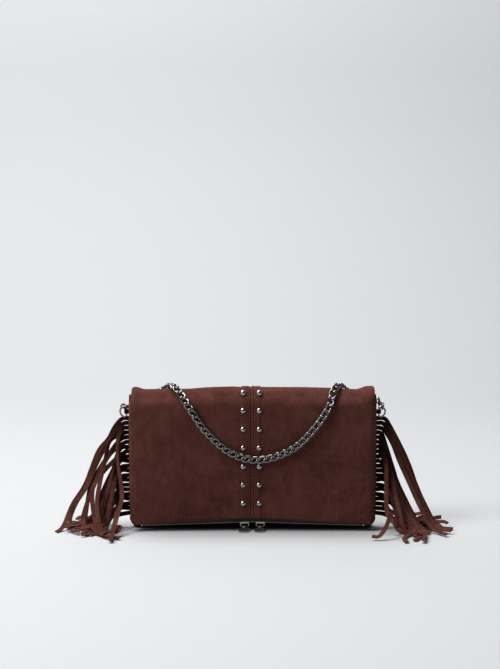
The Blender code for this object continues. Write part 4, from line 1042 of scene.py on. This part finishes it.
def over_fold(across, degrees):
    """A point of the chain's route over the fold: 0 degrees is level with it at the rear, 180 at the flap."""
    turn = math.radians(degrees)
    reach = FOLD_RADIUS + CHAIN_LIFT - CHAIN_SINK * math.sin(turn)
    return Vector((across * HALF, FOLD_Y + reach * math.cos(turn), FOLD_Z + reach * math.sin(turn)))


def on_flap(across, up):
    """A point of the chain's route on the flap, as shares of half the width and of the fold's height."""
    return Vector((across * HALF, FLAP_FACE_Y - CHAIN_LIFT, up * FOLD_Z))


def beside_seam(side, out, back, up):
    """A point of the chain's route at the rear corner, from the side edge, the rear and the fold's height."""
    return Vector((side * (HALF + out), REAR_Y + back, FOLD_Z + up))


def ring_hold(side):
    """The point of the ring's wire that the chain's end link hangs on."""
    out = RING_BOW + RING_RADIUS * math.cos(RING_HOLD_ANGLE)
    up = RING_RADIUS * math.sin(RING_HOLD_ANGLE)
    return Vector((side * (RING_X + out), SEAM_REAR_Y, RING_Z + up))


def chain_route():
    """The chain's middle line: left ring, rear, over the fold, across the flap, back to the right ring."""
    route = [ring_hold(-1)]
    route += [beside_seam(-1, *place) for place in CHAIN_LEFT_CORNER]
    route += [over_fold(*place) for place in CHAIN_LEFT_FOLD]
    route += [on_flap(*place) for place in CHAIN_ON_FLAP]
    route += [over_fold(*place) for place in CHAIN_RIGHT_FOLD]
    route += [beside_seam(1, *place) for place in CHAIN_RIGHT_CORNER]
    return route + [ring_hold(1)]


def add_link(shape, centre, along, across, out, half_length):
    """A twisted oval link of a curb chain, ground a little flat on its two broad sides."""
    radius = LINK_WIRE / 2
    half_width = CHAIN_WIDTH / 2 - radius
    middle = []
    for step in range(LINK_STEPS):
        turn = math.tau * step / LINK_STEPS
        run = (half_length + LINK_LONGER) * math.cos(turn) + LINK_SKEW * math.sin(turn)
        twist = LINK_TWIST * math.cos(turn)
        wide = half_width * math.sin(turn)
        middle.append(centre + along * run + across * wide * math.cos(twist) + out * wide * math.sin(twist))
    flat = radius * LINK_FLAT
    rings = []
    for step in range(LINK_STEPS):
        heading = (middle[(step + 1) % LINK_STEPS] - middle[step - 1]).normalized()
        inward = centre - middle[step]
        inward = (inward - heading * inward.dot(heading)).normalized()
        side = heading.cross(inward)
        ring = []
        for corner in range(LINK_SIDES):
            turn = math.tau * corner / LINK_SIDES
            offset = (inward * math.cos(turn) + side * math.sin(turn)) * radius
            proud = offset.dot(out)
            if abs(proud) > flat:
                offset -= out * (proud - math.copysign(flat, proud))
            ring.append(middle[step] + offset)
        rings.append(ring)
    grow_tube(shape, rings, closed=True)


def link_frame(centre, heading, roll):
    """A link's two directions off its run: along the suede and away from it, rolled about the run."""
    axis = Vector((centre.x, FOLD_Y, min(centre.z, FOLD_Z)))
    out = centre - axis
    out = (out - heading * out.dot(heading)).normalized()
    across = out.cross(heading)
    turned = Matrix.Rotation(roll, 3, heading)
    return turned @ across, turned @ out


def make_chain():
    """All links along the route, as many as fit it, the end links hanging on the rings."""
    route = smooth_curve(chain_route(), 10)
    lengths = lengths_along(route)
    held = RING_WIRE_RADIUS + CHAIN_WIRE / 2 + RING_PLAY
    count = round((lengths[-1] - CHAIN_PITCH) / CHAIN_PITCH) + 1
    count += (count + 1) % 2
    pitch = lengths[-1] / (count + 0.2)
    for _ in range(8):
        half_length = (pitch + CHAIN_WIRE - CHAIN_OVERLAP) / 2
        pitch = (lengths[-1] - 2 * (half_length - held)) / (count - 1)
    shape = bmesh.new()
    for index in range(count):
        centre, heading = point_at(route, lengths, half_length - held + index * pitch)
        roll = 0.0
        if index < len(FIRST_ROLLS):
            roll = FIRST_ROLLS[index]
        if count - 1 - index < len(LAST_ROLLS):
            roll = -LAST_ROLLS[count - 1 - index]
        across, out = link_frame(centre, heading, roll)
        add_link(shape, centre, heading, across, out, half_length)
    dress(finish_mesh("chain_links", shape, CHAIN_METAL, angle=60), "dark_metal", "bag", "chain_strap")


# Camera, floor and light


def make_stage():
    """A paper sweep: floor, bend and wall."""
    # Painted light: the sweep's paper lighter from the floor up the wall
    paper = paper_material("floor_paper_painted_light", (0.470, 0.475, 0.485), (0.575, 0.58, 0.595))
    shape = bmesh.new()
    line = [(FLOOR_FRONT_Y, 0.0), (FLOOR_BEND_Y, 0.0)]
    for degrees in range(10, 91, 10):
        turn = math.radians(degrees)
        line.append((FLOOR_BEND_Y + FLOOR_BEND * math.sin(turn), FLOOR_BEND - FLOOR_BEND * math.cos(turn)))
    line.append((FLOOR_BEND_Y + FLOOR_BEND, WALL_TOP))
    columns = []
    for x in (-FLOOR_HALF_WIDTH, FLOOR_HALF_WIDTH):
        columns.append([shape.verts.new((x, y, z)) for y, z in line])
    for step in range(len(line) - 1):
        shape.faces.new((columns[0][step], columns[1][step], columns[1][step + 1], columns[0][step + 1]))
    finish_mesh("studio_sweep", shape, paper, angle=80)


def add_light(name, place, aim, size, power):
    data = bpy.data.lights.new(name, "AREA")
    data.shape = "RECTANGLE"
    data.size, data.size_y = size
    data.energy = power
    light = new_object(name, data)
    light.location = place
    light.rotation_euler = (Vector(aim) - Vector(place)).to_track_quat("-Z", "Y").to_euler()


def make_light():
    world = bpy.data.worlds.new("studio_air")
    bpy.context.scene.world = world
    world.use_nodes = True
    background = world.node_tree.nodes["Background"]
    background.inputs["Color"].default_value = WORLD_COLOUR
    background.inputs["Strength"].default_value = WORLD_STRENGTH
    add_light("key", (-1.6, -1.1, 1.9), (0.0, 0.0, 0.08), (1.0, 1.0), 45.0)
    add_light("top", (-0.5, 0.3, 2.4), (0.0, 0.0, 0.0), (1.7, 1.3), 77.0)


def make_camera():
    data = bpy.data.cameras.new("camera")
    data.lens = CAMERA_LENS
    data.sensor_width = 36.0
    data.sensor_fit = "AUTO"
    camera = new_object("camera", data)
    back = Vector((0.0, -math.cos(CAMERA_ELEVATION), math.sin(CAMERA_ELEVATION)))
    camera.location = CAMERA_AIM + back * CAMERA_DISTANCE
    camera.rotation_euler = (CAMERA_AIM - camera.location).to_track_quat("-Z", "Y").to_euler()
    data.shift_y = CAMERA_SHIFT
    bpy.context.scene.camera = camera


bpy.context.scene.view_settings.view_transform = "Standard"
BROWNS = ((0.050, 0.0160, 0.0120), (0.072, 0.0235, 0.0180), (0.100, 0.0360, 0.0285))
STRIP_BROWNS = ((0.044, 0.0140, 0.0105), (0.070, 0.0235, 0.0180), (0.108, 0.0420, 0.0330))
SUEDE_MATERIAL = suede_material("suede_brown", *BROWNS, 0.35)
# The strips' suede: painted shade near the side seam and behind the front strips
FRINGE_MATERIAL = suede_material("suede_brown_strips_painted_shade", *STRIP_BROWNS, 1.0, shaded_roots)
# The inner sheet's suede: painted shade low down, under the flap
INNER_MATERIAL = suede_material("suede_brown_inner_painted_shade", *BROWNS, 0.35, shaded_base)
THREAD = thread_material("brown_thread", (0.046, 0.0150, 0.0115), (0.165, 0.060, 0.046))
# Near-black for the needle holes: painted shade, drawn with the thread's pattern
HOLE_PAINTED_SHADE = thread_material("needle_hole_painted_shade", (0.006, 0.002, 0.002), (0.014, 0.005, 0.004))
METAL = metal_material("dark_nickel", (0.36, 0.35, 0.335), 0.13, 0.75)
CHAIN_METAL = metal_material("dark_nickel_chain", (0.235, 0.225, 0.215), 0.11, 0.6)
TAB_METAL = metal_material("dark_nickel_brushed", (0.42, 0.39, 0.36), 0.34, 0.8)
TEETH_METAL = metal_material("dark_nickel_teeth", (0.30, 0.265, 0.235), 0.38, 0.5)
TAPE = woven_material("black_tape", (0.006, 0.005, 0.005), (0.022, 0.018, 0.018), 0.0008)

make_stitching(*make_pouch())
make_fringe("fringe_strips_left", -1, "fringe_left")
make_fringe("fringe_strips_right", 1, "fringe_right")
make_studs()
make_teeth()
make_rings()
make_ring_tabs()
make_chain()
CARRIED = (("zip_tape", TAPE), ("slider", METAL), ("zip_stop", METAL), ("pull_tab", TAB_METAL))
for NAME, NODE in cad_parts.items():
    for START, MATERIAL in CARRIED:
        if NAME.startswith(START):
            NODE.data.materials.clear()
            NODE.data.materials.append(MATERIAL)
make_camera()
make_stage()
make_light()
